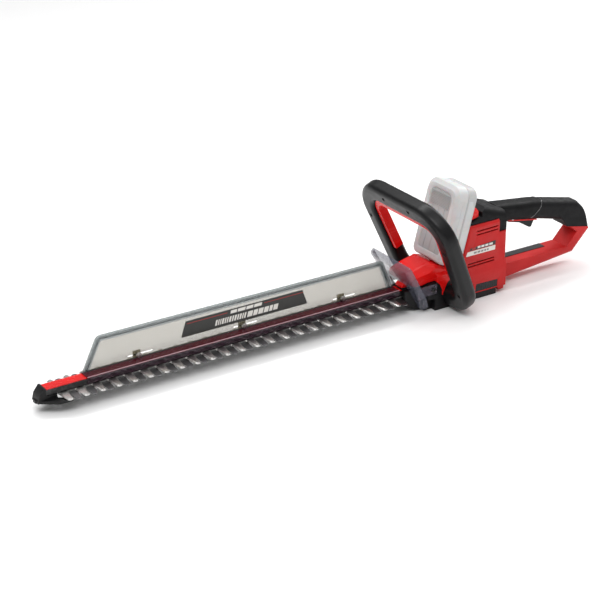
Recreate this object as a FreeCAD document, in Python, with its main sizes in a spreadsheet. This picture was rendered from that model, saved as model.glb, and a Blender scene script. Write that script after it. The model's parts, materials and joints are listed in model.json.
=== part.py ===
"""Cordless two-hand hedge trimmer with a clear cuttings collector.

Every sub-part is drawn with X measured from the tip of the blade towards the rear handle, Y to the
far side and Z up from the ground, in millimetres. Its Placement then moves it forward by half of the
overall length, so the assembly stands centred on the origin with the blade towards -X.
"""
import FreeCAD, Part
import math
import os

import Sketcher

Vector = FreeCAD.Vector
DOC = FreeCAD.newDocument("HedgeTrimmer")
SHEET = DOC.addObject("Spreadsheet::Sheet", "Dimensions")
PIECES = []

DRIVING = {
    "overall_length": 980,
    "tooth_pitch": 25,
    "tooth_count": 23,
    "tooth_root": 15,
    "tooth_tip": 8.5,
    "tooth_reach": 34.5,
    "first_tooth": 46.25,
    "blade_half": 10.5,
    "blade_thick": 2.2,
    "lower_blade_floor": 20.1,
    "upper_blade_floor": 22.7,
    "half_stroke": 6.25,
    "rail_half": 9,
    "rail_floor": 25.2,
    "rail_roof": 33.5,
    "rail_end": 672,
    "strip_roof": 35,
    "bolt_start": 65,
    "bolt_pitch": 128,
    "bolt_count": 5,
    "spacer_radius": 4,
    "stud_start": 166,
    "stud_pitch": 173.5,
    "stud_count": 3,
    "stud_height": 40.6,
    "gear_axis": 706,
    "gear_module": 1.2,
    "gear_teeth": 40,
    "pinion_teeth": 12,
    "gear_floor": 26.4,
    "gear_width": 8,
    "eccentric_radius": 8,
    "body_half": 37,
    "flare_half": 40.5,
    "wall": 2.6,
    "split_height": 124,
    "base_roof": 12,
    "grip_half": 17,
    "bar_half": 17.5,
    "loop_tilt": 24,
    "loop_foot": 679,
    "loop_depth": 25,
    "loop_width": 30,
    "loop_wall": 2.4,
    "loop_inner_half": 67,
    "loop_splay": 0.08,
    "loop_top": 200,
    "guard_tilt": 30,
    "guard_foot": 637,
    "guard_thick": 2.6,
    "guard_rim": 10,
    "battery_tilt": 15,
    "battery_foot": 684,
    "battery_half": 39,
    "battery_depth": 40,
    "battery_low": 64,
    "battery_high": 187,
}

# Where the shell screws stand, as X and Z
SHELL_SCREWS = [(694, 49), (783, 40), (783, 88)]
# The trigger's pin, as X and Z
TRIGGER_PIVOT = (821, 104.6)
# The base housing's side face meets the guard's tab at this screw, as X and Z
GUARD_SCREW = (649, 37)
# Screws from the frame plate into the rail
RAIL_SCREWS = (640, 662)
# The screw of the tip protector
PROTECTOR_SCREW = 22


class Dim:
    """A length that keeps its value and the sheet expression it comes from."""

    def __init__(self, value, text=None):
        self.value = float(value)
        self.text = text if text is not None else repr(float(value))

    def _with(self, other, sign, result):
        return Dim(result, f"({self.text} {sign} {dim(other).text})")

    def __add__(self, other):
        return self._with(other, "+", self.value + dim(other).value)

    def __sub__(self, other):
        return self._with(other, "-", self.value - dim(other).value)

    def __mul__(self, other):
        return self._with(other, "*", self.value * dim(other).value)

    def __truediv__(self, other):
        return self._with(other, "/", self.value / dim(other).value)

    def __neg__(self):
        return Dim(-self.value, f"(-1 * {self.text})")

    def __radd__(self, other):
        return dim(other) + self

    def __rsub__(self, other):
        return dim(other) - self

    def __rmul__(self, other):
        return dim(other) * self


def dim(number):
    return number if isinstance(number, Dim) else Dim(number)


def size(alias):
    """The sheet's value for an alias, with its expression."""
    return Dim(DRIVING[alias], f"Dimensions.{alias}")


def fill_sheet():
    for row, (alias, number) in enumerate(DRIVING.items(), start=1):
        SHEET.set(f"A{row}", alias)
        SHEET.set(f"B{row}", str(number))
        SHEET.setAlias(f"B{row}", alias)
    DOC.recompute()


def bind(owner, path, amount):
    """Sets a property and ties it to the sheet where it comes from there."""
    amount = dim(amount)
    setattr(owner, path, amount.value)
    if "Dimensions" in amount.text:
        owner.setExpression(path, amount.text)


# ---------------------------------------------------------------- placing

def place(piece, base=(0, 0, 0), rotation=None):
    """Gives a sub-part its Placement: its own base, moved forward by half of the overall length."""
    shift = -size("overall_length") / 2
    base_x = dim(base[0]) + shift
    turn = rotation if rotation is not None else FreeCAD.Rotation()
    piece.Placement = FreeCAD.Placement(Vector(base_x.value, base[1], base[2]), turn)
    piece.setExpression("Placement.Base.x", base_x.text)
    PIECES.append(piece)
    return piece


def leaning(angle):
    """Rotation whose local Z leans towards the rear by the angle."""
    return FreeCAD.Rotation(Vector(0, 1, 0), angle)


def facing_front(tilt):
    """Rotation of a plate seen from the front: local X to the far side, Y up the tilted plate."""
    lean = math.radians(tilt)
    across = Vector(0, 1, 0)
    upward = Vector(-math.sin(lean), 0, math.cos(lean))
    return FreeCAD.Rotation(across, upward, across.cross(upward), "ZXY")


# ---------------------------------------------------------------- bodies and sketches

def new_body(label):
    body = DOC.addObject("PartDesign::Body", label)
    body.Label = label
    body.AllowCompound = True
    return body


def new_sketch(body, plane, offset=0):
    """A sketch on one of the body's own origin planes, moved along the plane's normal."""
    sketch = body.newObject("Sketcher::SketchObject", f"{body.Name}_sketch")
    origin_plane = next(item for item in body.Origin.OriginFeatures if item.Role == plane)
    sketch.AttachmentSupport = [(origin_plane, "")]
    sketch.MapMode = "FlatFace"
    offset = dim(offset)
    sketch.AttachmentOffset = FreeCAD.Placement(Vector(0, 0, offset.value), FreeCAD.Rotation())
    if "Dimensions" in offset.text:
        sketch.setExpression("AttachmentOffset.Base.z", offset.text)
    return sketch


def drive(sketch, kind, where, amount):
    """One datum constraint of the sketch, tied to the sheet where its amount comes from there."""
    amount = dim(amount)
    index = sketch.addConstraint(Sketcher.Constraint(kind, *where, amount.value))
    if "Dimensions" in amount.text:
        sketch.setExpression(f"Constraints[{index}]", amount.text)


def polygon(sketch, points):
    """A closed outline of straight lines whose every corner is dimensioned from the origin."""
    first = sketch.GeometryCount
    corners = [Vector(dim(x).value, dim(y).value, 0) for x, y in points]
    count = len(corners)
    for index in range(count):
        sketch.addGeometry(Part.LineSegment(corners[index], corners[(index + 1) % count]), False)
    for index in range(count):
        after = first + (index + 1) % count
        sketch.addConstraint(Sketcher.Constraint("Coincident", first + index, 2, after, 1))
        drive(sketch, "DistanceX", (-1, 1, first + index, 1), points[index][0])
        drive(sketch, "DistanceY", (-1, 1, first + index, 1), points[index][1])


def rectangle(sketch, left, right, low, high):
    polygon(sketch, [(left, low), (right, low), (right, high), (left, high)])


def circle(sketch, across, up, radius):
    centre = Vector(dim(across).value, dim(up).value, 0)
    index = sketch.addGeometry(Part.Circle(centre, Vector(0, 0, 1), dim(radius).value), False)
    drive(sketch, "DistanceX", (-1, 1, index, 3), across)
    drive(sketch, "DistanceY", (-1, 1, index, 3), up)
    drive(sketch, "Radius", (index,), radius)


def slot(sketch, start, end, up, radius):
    """A straight slot along the sketch's X, with round ends."""
    start, end, up, radius = (dim(item).value for item in (start, end, up, radius))
    quarter = math.pi / 2
    normal = Vector(0, 0, 1)
    left = Part.ArcOfCircle(Part.Circle(Vector(start, up, 0), normal, radius), quarter, 3 * quarter)
    right = Part.ArcOfCircle(Part.Circle(Vector(end, up, 0), normal, radius), -quarter, quarter)
    below = Part.LineSegment(Vector(start, up - radius, 0), Vector(end, up - radius, 0))
    above = Part.LineSegment(Vector(end, up + radius, 0), Vector(start, up + radius, 0))
    for piece in (left, below, right, above):
        index = sketch.addGeometry(piece, False)
        sketch.addConstraint(Sketcher.Constraint("Block", index))


def rounded(sketch, corners, radii):
    """A closed outline whose corners are round: each corner's arc touches its two sides."""
    corners = [Vector(dim(x).value, dim(y).value, 0) for x, y in corners]
    arcs = []
    for index, corner in enumerate(corners):
        back = (corners[index - 1] - corner).normalize()
        ahead = (corners[(index + 1) % len(corners)] - corner).normalize()
        half = back.getAngle(ahead) / 2
        reach = radii[index] / math.tan(half)
        middle = corner + (back + ahead).normalize() * (radii[index] / math.sin(half) - radii[index])
        arcs.append((corner + back * reach, middle, corner + ahead * reach))
    for index, (start, middle, end) in enumerate(arcs):
        after = arcs[(index + 1) % len(arcs)][0]
        for piece in (Part.Arc(start, middle, end), Part.LineSegment(end, after)):
            number = sketch.addGeometry(piece, False)
            sketch.addConstraint(Sketcher.Constraint("Block", number))


def pad(body, sketch, length, middle=False, backwards=False, taper=0):
    feature = body.newObject("PartDesign::Pad", f"{body.Name}_pad")
    feature.Profile = sketch
    bind(feature, "Length", length)
    feature.SideType = "Symmetric" if middle else "One side"
    feature.Reversed = backwards
    feature.TaperAngle = taper
    sketch.Visibility = False
    DOC.recompute()
    return feature


def pocket(body, sketch, length, middle=False, backwards=False):
    """Cuts the sketch out of the body and makes sure that it did cut."""
    before = body.Shape.Volume
    feature = body.newObject("PartDesign::Pocket", f"{body.Name}_pocket")
    feature.Profile = sketch
    bind(feature, "Length", length)
    feature.SideType = "Symmetric" if middle else "One side"
    feature.Reversed = backwards
    DOC.recompute()
    if not body.Shape.Volume < before:
        raise ValueError(f"a pocket of {body.Label} cuts nothing")
    return feature


def pattern(body, features, spacing, count):
    """Repeats features along the body's X."""
    feature = body.newObject("PartDesign::LinearPattern", f"{body.Name}_pattern")
    feature.Originals = features
    axis = next(item for item in body.Origin.OriginFeatures if item.Role == "X_Axis")
    feature.Direction = (axis, [""])
    feature.Mode = "Spacing"
    bind(feature, "Offset", spacing)
    feature.Occurrences = int(dim(count).value)
    body.Tip = feature
    DOC.recompute()
    return feature


def dress_edges(body, kind, amount, chosen):
    """Fillets or chamfers the edges of the body's tip that the test picks by their bounding box."""
    tip = body.Tip
    names = [f"Edge{number}" for number, edge in enumerate(tip.Shape.Edges, start=1)
             if chosen(edge.BoundBox)]
    feature = body.newObject(f"PartDesign::{kind}", f"{body.Name}_{kind}")
    feature.Base = (tip, names)
    bind(feature, "Radius" if kind == "Fillet" else "Size", amount)
    DOC.recompute()
    if not names or feature.Shape.isNull() or not feature.Shape.isValid():
        raise ValueError(f"a {kind} of {body.Label} fails on {names}")
    return feature


def round_edges(body, radius, chosen):
    return dress_edges(body, "Fillet", radius, chosen)


def at_depth(axis, position, tolerance=0.01):
    """Picks the edges that lie in the plane axis = position."""
    low, high = f"{axis}Min", f"{axis}Max"
    return lambda box: (abs(getattr(box, low) - position) < tolerance
                        and abs(getattr(box, high) - position) < tolerance)


# ---------------------------------------------------------------- primitives and groups

def cylinder(label, radius, height, base, direction=(0, 0, 1)):
    piece = DOC.addObject("Part::Cylinder", label)
    bind(piece, "Radius", radius)
    bind(piece, "Height", height)
    turn = FreeCAD.Rotation(Vector(0, 0, 1), Vector(*direction))
    piece.Placement = FreeCAD.Placement(Vector(*(dim(item).value for item in base)), turn)
    return piece


def box(label, low, high):
    piece = DOC.addObject("Part::Box", label)
    for side, start, end in zip(("Length", "Width", "Height"), low, high):
        bind(piece, side, dim(end) - dim(start))
    piece.Placement.Base = Vector(*(dim(item).value for item in low))
    return piece


def fuse(label, shapes):
    piece = DOC.addObject("Part::MultiFuse", label)
    piece.Shapes = shapes
    return piece


def cut(label, base, tool):
    piece = DOC.addObject("Part::Cut", label)
    piece.Base = base
    piece.Tool = tool
    return piece


def group(label, members):
    """Several equal solids that share one node."""
    piece = DOC.addObject("Part::Compound", label)
    piece.Label = label
    piece.Links = members
    return place(piece)


def screw(label, head_radius, head_height, shank_radius, shank_length, base, direction):
    """A screw with a hexagon recess; its base is under the head and it points along direction."""
    axis = Vector(*direction)
    start = Vector(*(dim(item).value for item in base))
    top = start - axis * head_height
    head = cylinder(f"{label}_head", head_radius, head_height, tuple(top), direction)
    shank = cylinder(f"{label}_shank", shank_radius, shank_length, tuple(start), direction)
    whole = fuse(f"{label}_blank", [head, shank])
    key = DOC.addObject("Part::Prism", f"{label}_key")
    key.Polygon = 6
    key.Circumradius = head_radius * 0.5
    key.Height = head_height * 1.2
    key.Placement = FreeCAD.Placement(top - axis * head_height * 0.6,
                                      FreeCAD.Rotation(Vector(0, 0, 1), axis))
    return cut(label, whole, key)


def screws(label, places, head_radius, head_height, shank_radius, shank_length, direction):
    members = [screw(f"{label}_{number}", head_radius, head_height, shank_radius, shank_length,
                     base, direction) for number, base in enumerate(places, start=1)]
    return group(label, members)


# ---------------------------------------------------------------- cutting assembly

def guide_rail():
    body = new_body("guide_rail")
    sketch = new_sketch(body, "YZ_Plane", 14.5)
    rectangle(sketch, -size("rail_half"), size("rail_half"), size("rail_floor"), size("rail_roof"))
    pad(body, sketch, size("rail_end") - 14.5)
    holes = new_sketch(body, "XY_Plane", size("rail_floor"))
    circle(holes, size("bolt_start"), 0, 2.6)
    bore = pocket(body, holes, 20, backwards=True)
    seats = new_sketch(body, "XY_Plane", 29)
    circle(seats, size("bolt_start"), 0, 5)
    seat = pocket(body, seats, 10, backwards=True)
    pattern(body, [bore, seat], size("bolt_pitch"), size("bolt_count"))
    for across, radius in [(PROTECTOR_SCREW, 2.05)] + [(across, 2.6) for across in RAIL_SCREWS]:
        end_holes = new_sketch(body, "XY_Plane", size("rail_floor"))
        circle(end_holes, across, 0, radius)
        pocket(body, end_holes, 20, backwards=True)
    return place(body)


def red_strip():
    body = new_body("rail_strip")
    sketch = new_sketch(body, "XY_Plane", size("rail_roof"))
    rectangle(sketch, 15.5, 612, -size("rail_half") + 0.3, size("rail_half") - 0.3)
    pad(body, sketch, size("strip_roof") - size("rail_roof"))
    return place(body)


def tip_protector():
    """A pointed foot under the blades, with a nose that covers the rail's end and two hooks."""
    body = new_body("tip_protector")
    half = [(0, -4), (7, -11), (28, -25), (47, -25.5), (49, -22), (38, -17), (31, -12)]
    outline = half + [(31, 12), (38, 17), (49, 22), (47, 25.5), (28, 25), (7, 11), (0, 4)]
    foot = new_sketch(body, "XY_Plane", 15.2)
    rounded(foot, outline, [3, 6, 5, 1, 1, 3, 2, 2, 3, 1, 1, 5, 6, 3])
    pad(body, foot, 4.4)
    nose = new_sketch(body, "XZ_Plane")
    polygon(nose, [(1.5, 16), (14.2, 16), (31, 16), (31, 25), (14.2, 25), (14.2, 36.2), (11.5, 36.2),
                   (4.5, 27)])
    pad(body, nose, 2 * size("rail_half") + 1.6, middle=True)
    hang = new_sketch(body, "XY_Plane", 14)
    circle(hang, 28.5, -14.6, 2.75)
    circle(hang, 28.5, 14.6, 2.75)
    pocket(body, hang, 8, backwards=True)
    bore = new_sketch(body, "XY_Plane", 14)
    circle(bore, PROTECTOR_SCREW, 0, 2.1)
    pocket(body, bore, 14, backwards=True)
    seat = new_sketch(body, "XY_Plane", 14)
    circle(seat, PROTECTOR_SCREW, 0, 4.1)
    pocket(body, seat, 4, backwards=True)
    return place(body)


def blade(label, floor, offset):
    """A long bar with a tooth pair every pitch, slots for the spacers and a yoke at its end."""
    body = new_body(label)
    bar = new_sketch(body, "XY_Plane", floor)
    start = 33.5 + offset + size("half_stroke")
    shoulder = size("gear_axis") + offset - 27
    rectangle(bar, start, shoulder + 2, -size("blade_half"), size("blade_half"))
    pad(body, bar, size("blade_thick"))
    tooth = new_sketch(body, "XY_Plane", floor)
    middle = size("first_tooth") + offset
    root = size("tooth_root") / 2
    tip = size("tooth_tip") / 2
    reach = size("tooth_reach")
    base = size("blade_half")
    nip = 2
    polygon(tooth, [
        (middle - root, -base + 1), (middle - tip, -reach + nip), (middle - tip + nip, -reach),
        (middle + tip - nip, -reach), (middle + tip, -reach + nip), (middle + root, -base + 1),
        (middle + root, base - 1), (middle + tip, reach - nip), (middle + tip - nip, reach),
        (middle - tip + nip, reach), (middle - tip, reach - nip), (middle - root, base - 1)])
    teeth = pad(body, tooth, size("blade_thick"))
    pattern(body, [teeth], size("tooth_pitch"), size("tooth_count"))
    yoke = new_sketch(body, "XY_Plane", floor)
    rounded(yoke, [(shoulder, -20), (shoulder + 54, -20), (shoulder + 54, 20), (shoulder, 20)], [8] * 4)
    pad(body, yoke, size("blade_thick"))
    window = new_sketch(body, "XY_Plane", floor)
    rounded(window, [(shoulder + 5.5, -15), (shoulder + 48.5, -15), (shoulder + 48.5, 15),
                     (shoulder + 5.5, 15)], [5] * 4)
    pocket(body, window, 10, backwards=True)
    opening = new_sketch(body, "XY_Plane", floor)
    slot_middle = size("bolt_start") + offset
    reach_back = size("half_stroke") + 0.4
    slot(opening, slot_middle - reach_back, slot_middle + reach_back, 0, size("spacer_radius") + 0.15)
    slots = pocket(body, opening, 10, backwards=True)
    pattern(body, [slots], size("bolt_pitch"), size("bolt_count"))
    return place(body)


def bolt_places(height):
    return [(size("bolt_start") + size("bolt_pitch") * number, 0, height)
            for number in range(DRIVING["bolt_count"])]


def blade_fasteners():
    """Under each bolt head lie the two blades, held apart from the rail by a spacer bush."""
    screws("blade_bolts", bolt_places(20), 6.5, 2.2, 2.5, 13, (0, 0, 1))
    spacers = []
    nuts = []
    for number, base in enumerate(bolt_places(20.05)):
        outer = cylinder(f"spacer_outer_{number}", size("spacer_radius"), 5.1, base)
        inner = cylinder(f"spacer_bore_{number}", 2.55, 5.1, base)
        spacers.append(cut(f"spacer_{number}", outer, inner))
        nut = DOC.addObject("Part::Prism", f"nut_blank_{number}")
        nut.Polygon = 6
        nut.Circumradius = 4.6
        nut.Height = 3.6
        nut.Placement.Base = Vector(base[0].value, 0, 29.1)
        bore = cylinder(f"nut_bore_{number}", 2.52, 3.6, (base[0], 0, 29.1))
        nuts.append(cut(f"nut_{number}", nut, bore))
    group("blade_spacers", spacers)
    group("blade_nuts", nuts)
    screws("protector_screw", [(PROTECTOR_SCREW, 0, 17.8)], 3.9, 2.2, 2, 13.5, (0, 0, 1))


def collector():
    """Clear angle: a skirt, a flange over the rail and an upright panel with a thick rim."""
    body = new_body("cuttings_collector")
    flange = new_sketch(body, "XZ_Plane")
    rectangle(flange, 77, 606, 35.25, 36.5)
    near = size("rail_half") + 2
    pad(body, flange, near)
    far_flange = new_sketch(body, "XZ_Plane")
    rectangle(far_flange, 77, 606, 35.25, 36.5)
    pad(body, far_flange, 8.4, backwards=True)
    skirt = new_sketch(body, "XZ_Plane", size("rail_half") + 0.4)
    rectangle(skirt, 77, 606, 26, 36)
    pad(body, skirt, 1.6)
    panel = new_sketch(body, "XZ_Plane", -9.6)
    corners = [(79, 35.25), (606, 35.25), (587, 83), (103, 85)]
    rounded(panel, corners, [1, 1, 7, 10])
    pad(body, panel, 2)
    rim = new_sketch(body, "XZ_Plane", -10.6)
    rounded(rim, corners, [1, 1, 7, 10])
    rounded(rim, [(90, 36.6), (597, 36.6), (581.5, 73), (109, 75)], [1, 1, 3, 6])
    pad(body, rim, 4)
    openings = new_sketch(body, "XZ_Plane")
    centre = size("stud_start")
    slot(openings, centre - 15, centre + 23, size("stud_height"), 1.4)
    guides = pocket(body, openings, 12)
    pattern(body, [guides], size("stud_pitch"), size("stud_count"))
    return place(body)


def collector_trim():
    """The dark badge plate on the panel."""
    body = new_body("collector_badge")
    sketch = new_sketch(body, "XZ_Plane", -7.6)
    polygon(sketch, [(236, 47), (451, 47), (442, 71), (244, 71)])
    pad(body, sketch, 0.4)
    return place(body)


def collector_studs():
    """Lugs on the far side of the rail; each carries a stud with a mushroom head."""
    lugs = []
    studs = []
    for number in range(DRIVING["stud_count"]):
        middle = (size("stud_start") + size("stud_pitch") * number).value
        height = DRIVING["stud_height"]
        lugs.append(box(f"lug_{number}", (middle - 6, 10.9, 27), (middle + 6, 12.6, 45)))
        foot = box(f"lug_foot_{number}", (middle - 6, 9, 27), (middle + 6, 12.6, 33))
        lugs[-1] = fuse(f"lug_whole_{number}", [lugs[-1], foot])
        neck = cylinder(f"neck_{number}", 1.2, 7.6, (middle, 10.9, height), (0, -1, 0))
        head = cylinder(f"head_{number}", 4.1, 1.6, (middle, 4.9, height), (0, -1, 0))
        dome = cylinder(f"dome_{number}", 2.6, 0.8, (middle, 3.3, height), (0, -1, 0))
        studs.append(fuse(f"stud_{number}", [neck, head, dome]))
    group("stud_lugs", lugs)
    group("collector_studs", studs)


# ---------------------------------------------------------------- hand guard

def hand_guard():
    """A clear plate leaning forward, with a rim round its back and a tab to each guard screw."""
    shell = new_body("guard_plate")
    corners = [(-34, 2), (-45, 26), (-48.5, 60), (-51, 97), (51, 97), (48.5, 60), (45, 26), (34, 2)]
    radii = [4, 20, 30, 7, 7, 30, 20, 4]
    wall = DRIVING["guard_thick"]
    front = new_sketch(shell, "XY_Plane")
    rounded(front, corners, radii)
    pad(shell, front, size("guard_rim"))
    inner = new_sketch(shell, "XY_Plane", size("guard_thick"))
    rounded(inner, [(-34 + wall, -3), (-45 + wall, 26), (-48.5 + wall, 60), (-51 + wall, 97 - wall),
                    (51 - wall, 97 - wall), (48.5 - wall, 60), (45 - wall, 26), (34 - wall, -3)],
            [2, 18, 28, 5, 5, 28, 18, 2])
    pocket(shell, inner, 40, backwards=True)
    arch = new_sketch(shell, "XY_Plane", -5)
    rounded(arch, [(-24, -10), (-22, 57), (22, 57), (24, -10)], [1, 6, 6, 1])
    pocket(shell, arch, 40, backwards=True)
    shell.Placement = FreeCAD.Placement(Vector(DRIVING["guard_foot"], 0, 0),
                                        facing_front(DRIVING["guard_tilt"]))
    guard = fuse("hand_guard", [shell, guard_tab(-1), guard_tab(1)])
    guard.Label = "hand_guard"
    return place(guard)


def guard_tab(side):
    """A bent tab from the rim to the housing's side, with the hole of its screw."""
    tab = new_body(f"guard_tab_{side + 2}")
    face = DRIVING["body_half"] + 0.3
    sketch = new_sketch(tab, "XY_Plane", 29)
    outline = [(618, side * 44.5), (620, side * 46.5), (634, side * (face + 2.2)),
               (656, side * (face + 2.2)), (656, side * face), (632, side * face)]
    polygon(sketch, outline)
    pad(tab, sketch, 16)
    hole = new_sketch(tab, "XZ_Plane")
    circle(hole, *GUARD_SCREW, 2.1)
    pocket(tab, hole, 50, backwards=side < 0)
    return tab


# ---------------------------------------------------------------- front loop handle

def loop_corners(inward, low=None):
    """Corners of the loop's outline, drawn inward; it starts at its own foot or at a height given."""
    side = DRIVING["loop_inner_half"] + DRIVING["loop_width"] - inward
    if low is None:
        low = 1 + inward
    high = DRIVING["loop_top"] - inward
    splay = DRIVING["loop_splay"]
    left, right = side + splay * low, side + splay * high
    return [(-left, low), (left, low), (right, high), (-right, high)]


def loop_radii(inward):
    return [50 - inward, 50 - inward, 56 - inward, 56 - inward]


def loop_shell(label, front):
    """Half of the loop's tube, open towards the other half, cut away where the body stands."""
    body = new_body(label)
    half = DRIVING["loop_depth"] / 2
    wall = DRIVING["loop_wall"]
    width = DRIVING["loop_width"]
    ring = new_sketch(body, "XY_Plane", size("loop_depth") / 2)
    rounded(ring, loop_corners(0), loop_radii(0))
    rounded(ring, loop_corners(width), loop_radii(width))
    pad(body, ring, size("loop_depth") / 2, backwards=front)
    outside = 0 if front else 2 * half
    round_edges(body, 8.5, at_depth("Z", outside))
    hollow = new_sketch(body, "XY_Plane", size("loop_depth") / 2)
    rounded(hollow, loop_corners(wall), loop_radii(wall))
    rounded(hollow, loop_corners(width - wall), loop_radii(width - wall))
    pocket(body, hollow, half - wall - 2, backwards=not front)
    channel = new_sketch(body, "XY_Plane", size("loop_depth") / 2)
    rounded(channel, loop_corners(width - 4.4, 66), [6, 6, 30, 30])
    pocket(body, channel, 7.6, backwards=not front)
    screw_holes(body, front)
    middle = new_sketch(body, "XY_Plane", -2)
    rectangle(middle, -size("body_half") - 0.4, size("body_half") + 0.4, -5, 70)
    pocket(body, middle, 60, backwards=True)
    return place(body, (size("loop_foot"), 0, 0), facing_front(DRIVING["loop_tilt"]))


def screw_holes(body, front):
    """Counterbored holes in the front half, posts with pilot holes in the rear half."""
    half = DRIVING["loop_depth"] / 2
    if front:
        for radius, depth in ((3.3, 3), (1.75, half)):
            holes = new_sketch(body, "XY_Plane")
            for across, up in loop_screw_places():
                circle(holes, across, up, radius)
            pocket(body, holes, depth, backwards=True)
        return
    posts = new_sketch(body, "XY_Plane", half + 1)
    for across, up in loop_screw_places():
        circle(posts, across, up, 3.4)
    pad(body, posts, half - 4)
    holes = new_sketch(body, "XY_Plane", half)
    for across, up in loop_screw_places():
        circle(holes, across, up, 1.65)
    pocket(body, holes, 6, backwards=True)


def loop_screw_places():
    """Where the loop's screws stand, in the plane of the loop."""
    top_middle = DRIVING["loop_top"] - DRIVING["loop_width"] / 2
    places = []
    for side in (-1, 1):
        places.append((side * 31, top_middle + 2))
        for height in (45, 131):
            leg = DRIVING["loop_inner_half"] + DRIVING["loop_splay"] * height
            places.append((side * (leg + 16), height))
    return places


def loop_fasteners():
    """Screws from the front, and the switch under the middle of the top bar."""
    turn = facing_front(DRIVING["loop_tilt"])
    foot = (size("loop_foot"), 0, 0)
    members = [screw(f"loop_screw_{number}", 3.1, 2, 1.6, 15, (across, up, 3), (0, 0, 1))
               for number, (across, up) in enumerate(loop_screw_places(), start=1)]
    piece = DOC.addObject("Part::Compound", "loop_screws")
    piece.Links = members
    place(piece, foot, turn)
    switch = DOC.addObject("Part::Compound", "front_microswitch")
    switch.Links = [box("front_switch", (-13, 182, 7.5), (13, 191, 17.5))]
    place(switch, foot, turn)


def front_switch_bar():
    """The U-shaped bar inside the loop that the front hand squeezes."""
    body = new_body("front_switch_bar")
    width = DRIVING["loop_width"]
    bar = new_sketch(body, "XY_Plane", size("loop_depth") / 2)
    rounded(bar, loop_corners(width - 0.2, 70), [2, 2, 26, 26])
    pad(body, bar, 14, middle=True)
    foot_left, foot_right, (right, high), (left, _) = loop_corners(width + 7, 60)
    middle = new_sketch(body, "XY_Plane", size("loop_depth") / 2)
    rounded(middle, [foot_left, foot_right, (right, high - 2), (left, high - 2)], [1, 1, 19, 19])
    pocket(body, middle, 30, middle=True)
    return place(body, (size("loop_foot"), 0, 0), facing_front(DRIVING["loop_tilt"]))


# ---------------------------------------------------------------- gearbox and motor

def gear_outline(teeth, module, turn, thinning=0.12, pressure=25, addendum=0.8, dedendum=1.1):
    """Closed involute outline; each flank is the involute of the base circle as a few points."""
    pitch_radius = module * teeth / 2
    base_radius = pitch_radius * math.cos(math.radians(pressure))
    outer_radius = pitch_radius + module * addendum
    root_radius = pitch_radius - module * dedendum

    def involute_angle(radius):
        spread = math.sqrt(max(radius ** 2 - base_radius ** 2, 0)) / base_radius
        return spread - math.atan(spread)

    half_at_pitch = math.pi / (2 * teeth) - thinning / (2 * pitch_radius)
    start_radius = max(base_radius, root_radius)
    steps = 4
    radii = [start_radius + (outer_radius - start_radius) * step / steps for step in range(steps + 1)]
    points = []
    for tooth in range(teeth):
        centre = turn + 2 * math.pi * tooth / teeth
        flank = [half_at_pitch + involute_angle(pitch_radius) - involute_angle(radius)
                 for radius in radii]
        rising = [(root_radius, -flank[0])] + [(r, -a) for r, a in zip(radii, flank)]
        falling = [(r, -a) for r, a in reversed(rising)]
        points += [Vector(r * math.cos(centre + a), r * math.sin(centre + a), 0)
                   for r, a in rising + falling]
    return points


def gear_feature(label, teeth, turn, floor, height, centre):
    outline = gear_outline(teeth, DRIVING["gear_module"], turn)
    wire = Part.makePolygon(outline + [outline[0]])
    blank = Part.Face(wire).extrude(Vector(0, 0, height))
    piece = DOC.addObject("Part::Feature", f"{label}_teeth")
    piece.Shape = blank
    piece.Placement.Base = Vector(centre, 0, floor)
    return piece


def drive_train():
    """Large gear with two eccentrics below it, on a fixed axle, driven by the motor's pinion."""
    axis = DRIVING["gear_axis"]
    floor = DRIVING["gear_floor"]
    width = DRIVING["gear_width"]
    module = DRIVING["gear_module"]
    teeth = DRIVING["gear_teeth"]
    pinion_teeth = DRIVING["pinion_teeth"]
    distance = module * (teeth + pinion_teeth) / 2
    throw = DRIVING["half_stroke"]
    wheel = gear_feature("drive_gear", teeth, math.pi / teeth, floor, width, axis)
    upper = cylinder("upper_eccentric", size("eccentric_radius"), 4, (axis - throw, 0, 22.6))
    lower = cylinder("lower_eccentric", size("eccentric_radius"), 2.5, (axis + throw, 0, 20.1))
    hub = cylinder("gear_hub", 7, 2, (axis, 0, floor + width - 0.1))
    solid = fuse("drive_gear_blank", [wheel, upper, lower, hub])
    bore = cylinder("drive_gear_bore", 3.05, 40, (axis, 0, 10))
    gear = cut("drive_gear", solid, bore)
    gear.Label = "drive_gear"
    place(gear)
    pinion_axis = axis + distance
    small = gear_feature("pinion", pinion_teeth, 0, floor, width, pinion_axis)
    shaft = cylinder("motor_shaft", 2.5, 80, (pinion_axis, 0, floor))
    rotor = cylinder("rotor_core", 13, 40, (pinion_axis, 0, 50))
    fan = cylinder("fan_disc", 16, 3, (pinion_axis, 0, 93))
    pinion = fuse("motor_rotor", [small, shaft, rotor, fan])
    pinion.Label = "motor_rotor"
    place(pinion)
    return pinion_axis


def gearbox_frame(pinion_axis):
    """The metal plate that holds the rail, the gear's axle and the motor."""
    body = new_body("gearbox_frame")
    plate = new_sketch(body, "XY_Plane", 37)
    rounded(plate, [(628, -14), (664, -14), (676, -24), (762, -24), (762, 24), (676, 24), (664, 14),
                    (628, 14)], [3, 8, 8, 6, 6, 8, 8, 3])
    pad(body, plate, 4)
    boss = new_sketch(body, "XY_Plane", size("rail_roof"))
    rectangle(boss, 629, 671, -8, 8)
    pad(body, boss, 4)
    holes = new_sketch(body, "XY_Plane", 30)
    for across in RAIL_SCREWS:
        circle(holes, across, 0, 2.6)
    circle(holes, size("gear_axis"), 0, 3)
    circle(holes, pinion_axis, 0, 9.5)
    pocket(body, holes, 20, backwards=True)
    place(body)
    pin = cylinder("gear_axle", 3, 38, (DRIVING["gear_axis"], 0, 5))
    pin.Label = "gear_axle"
    place_primitive(pin)
    screws("rail_screws", [(across, 0, 41) for across in RAIL_SCREWS], 4.4, 4, 2.5, 15.5, (0, 0, -1))


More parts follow.
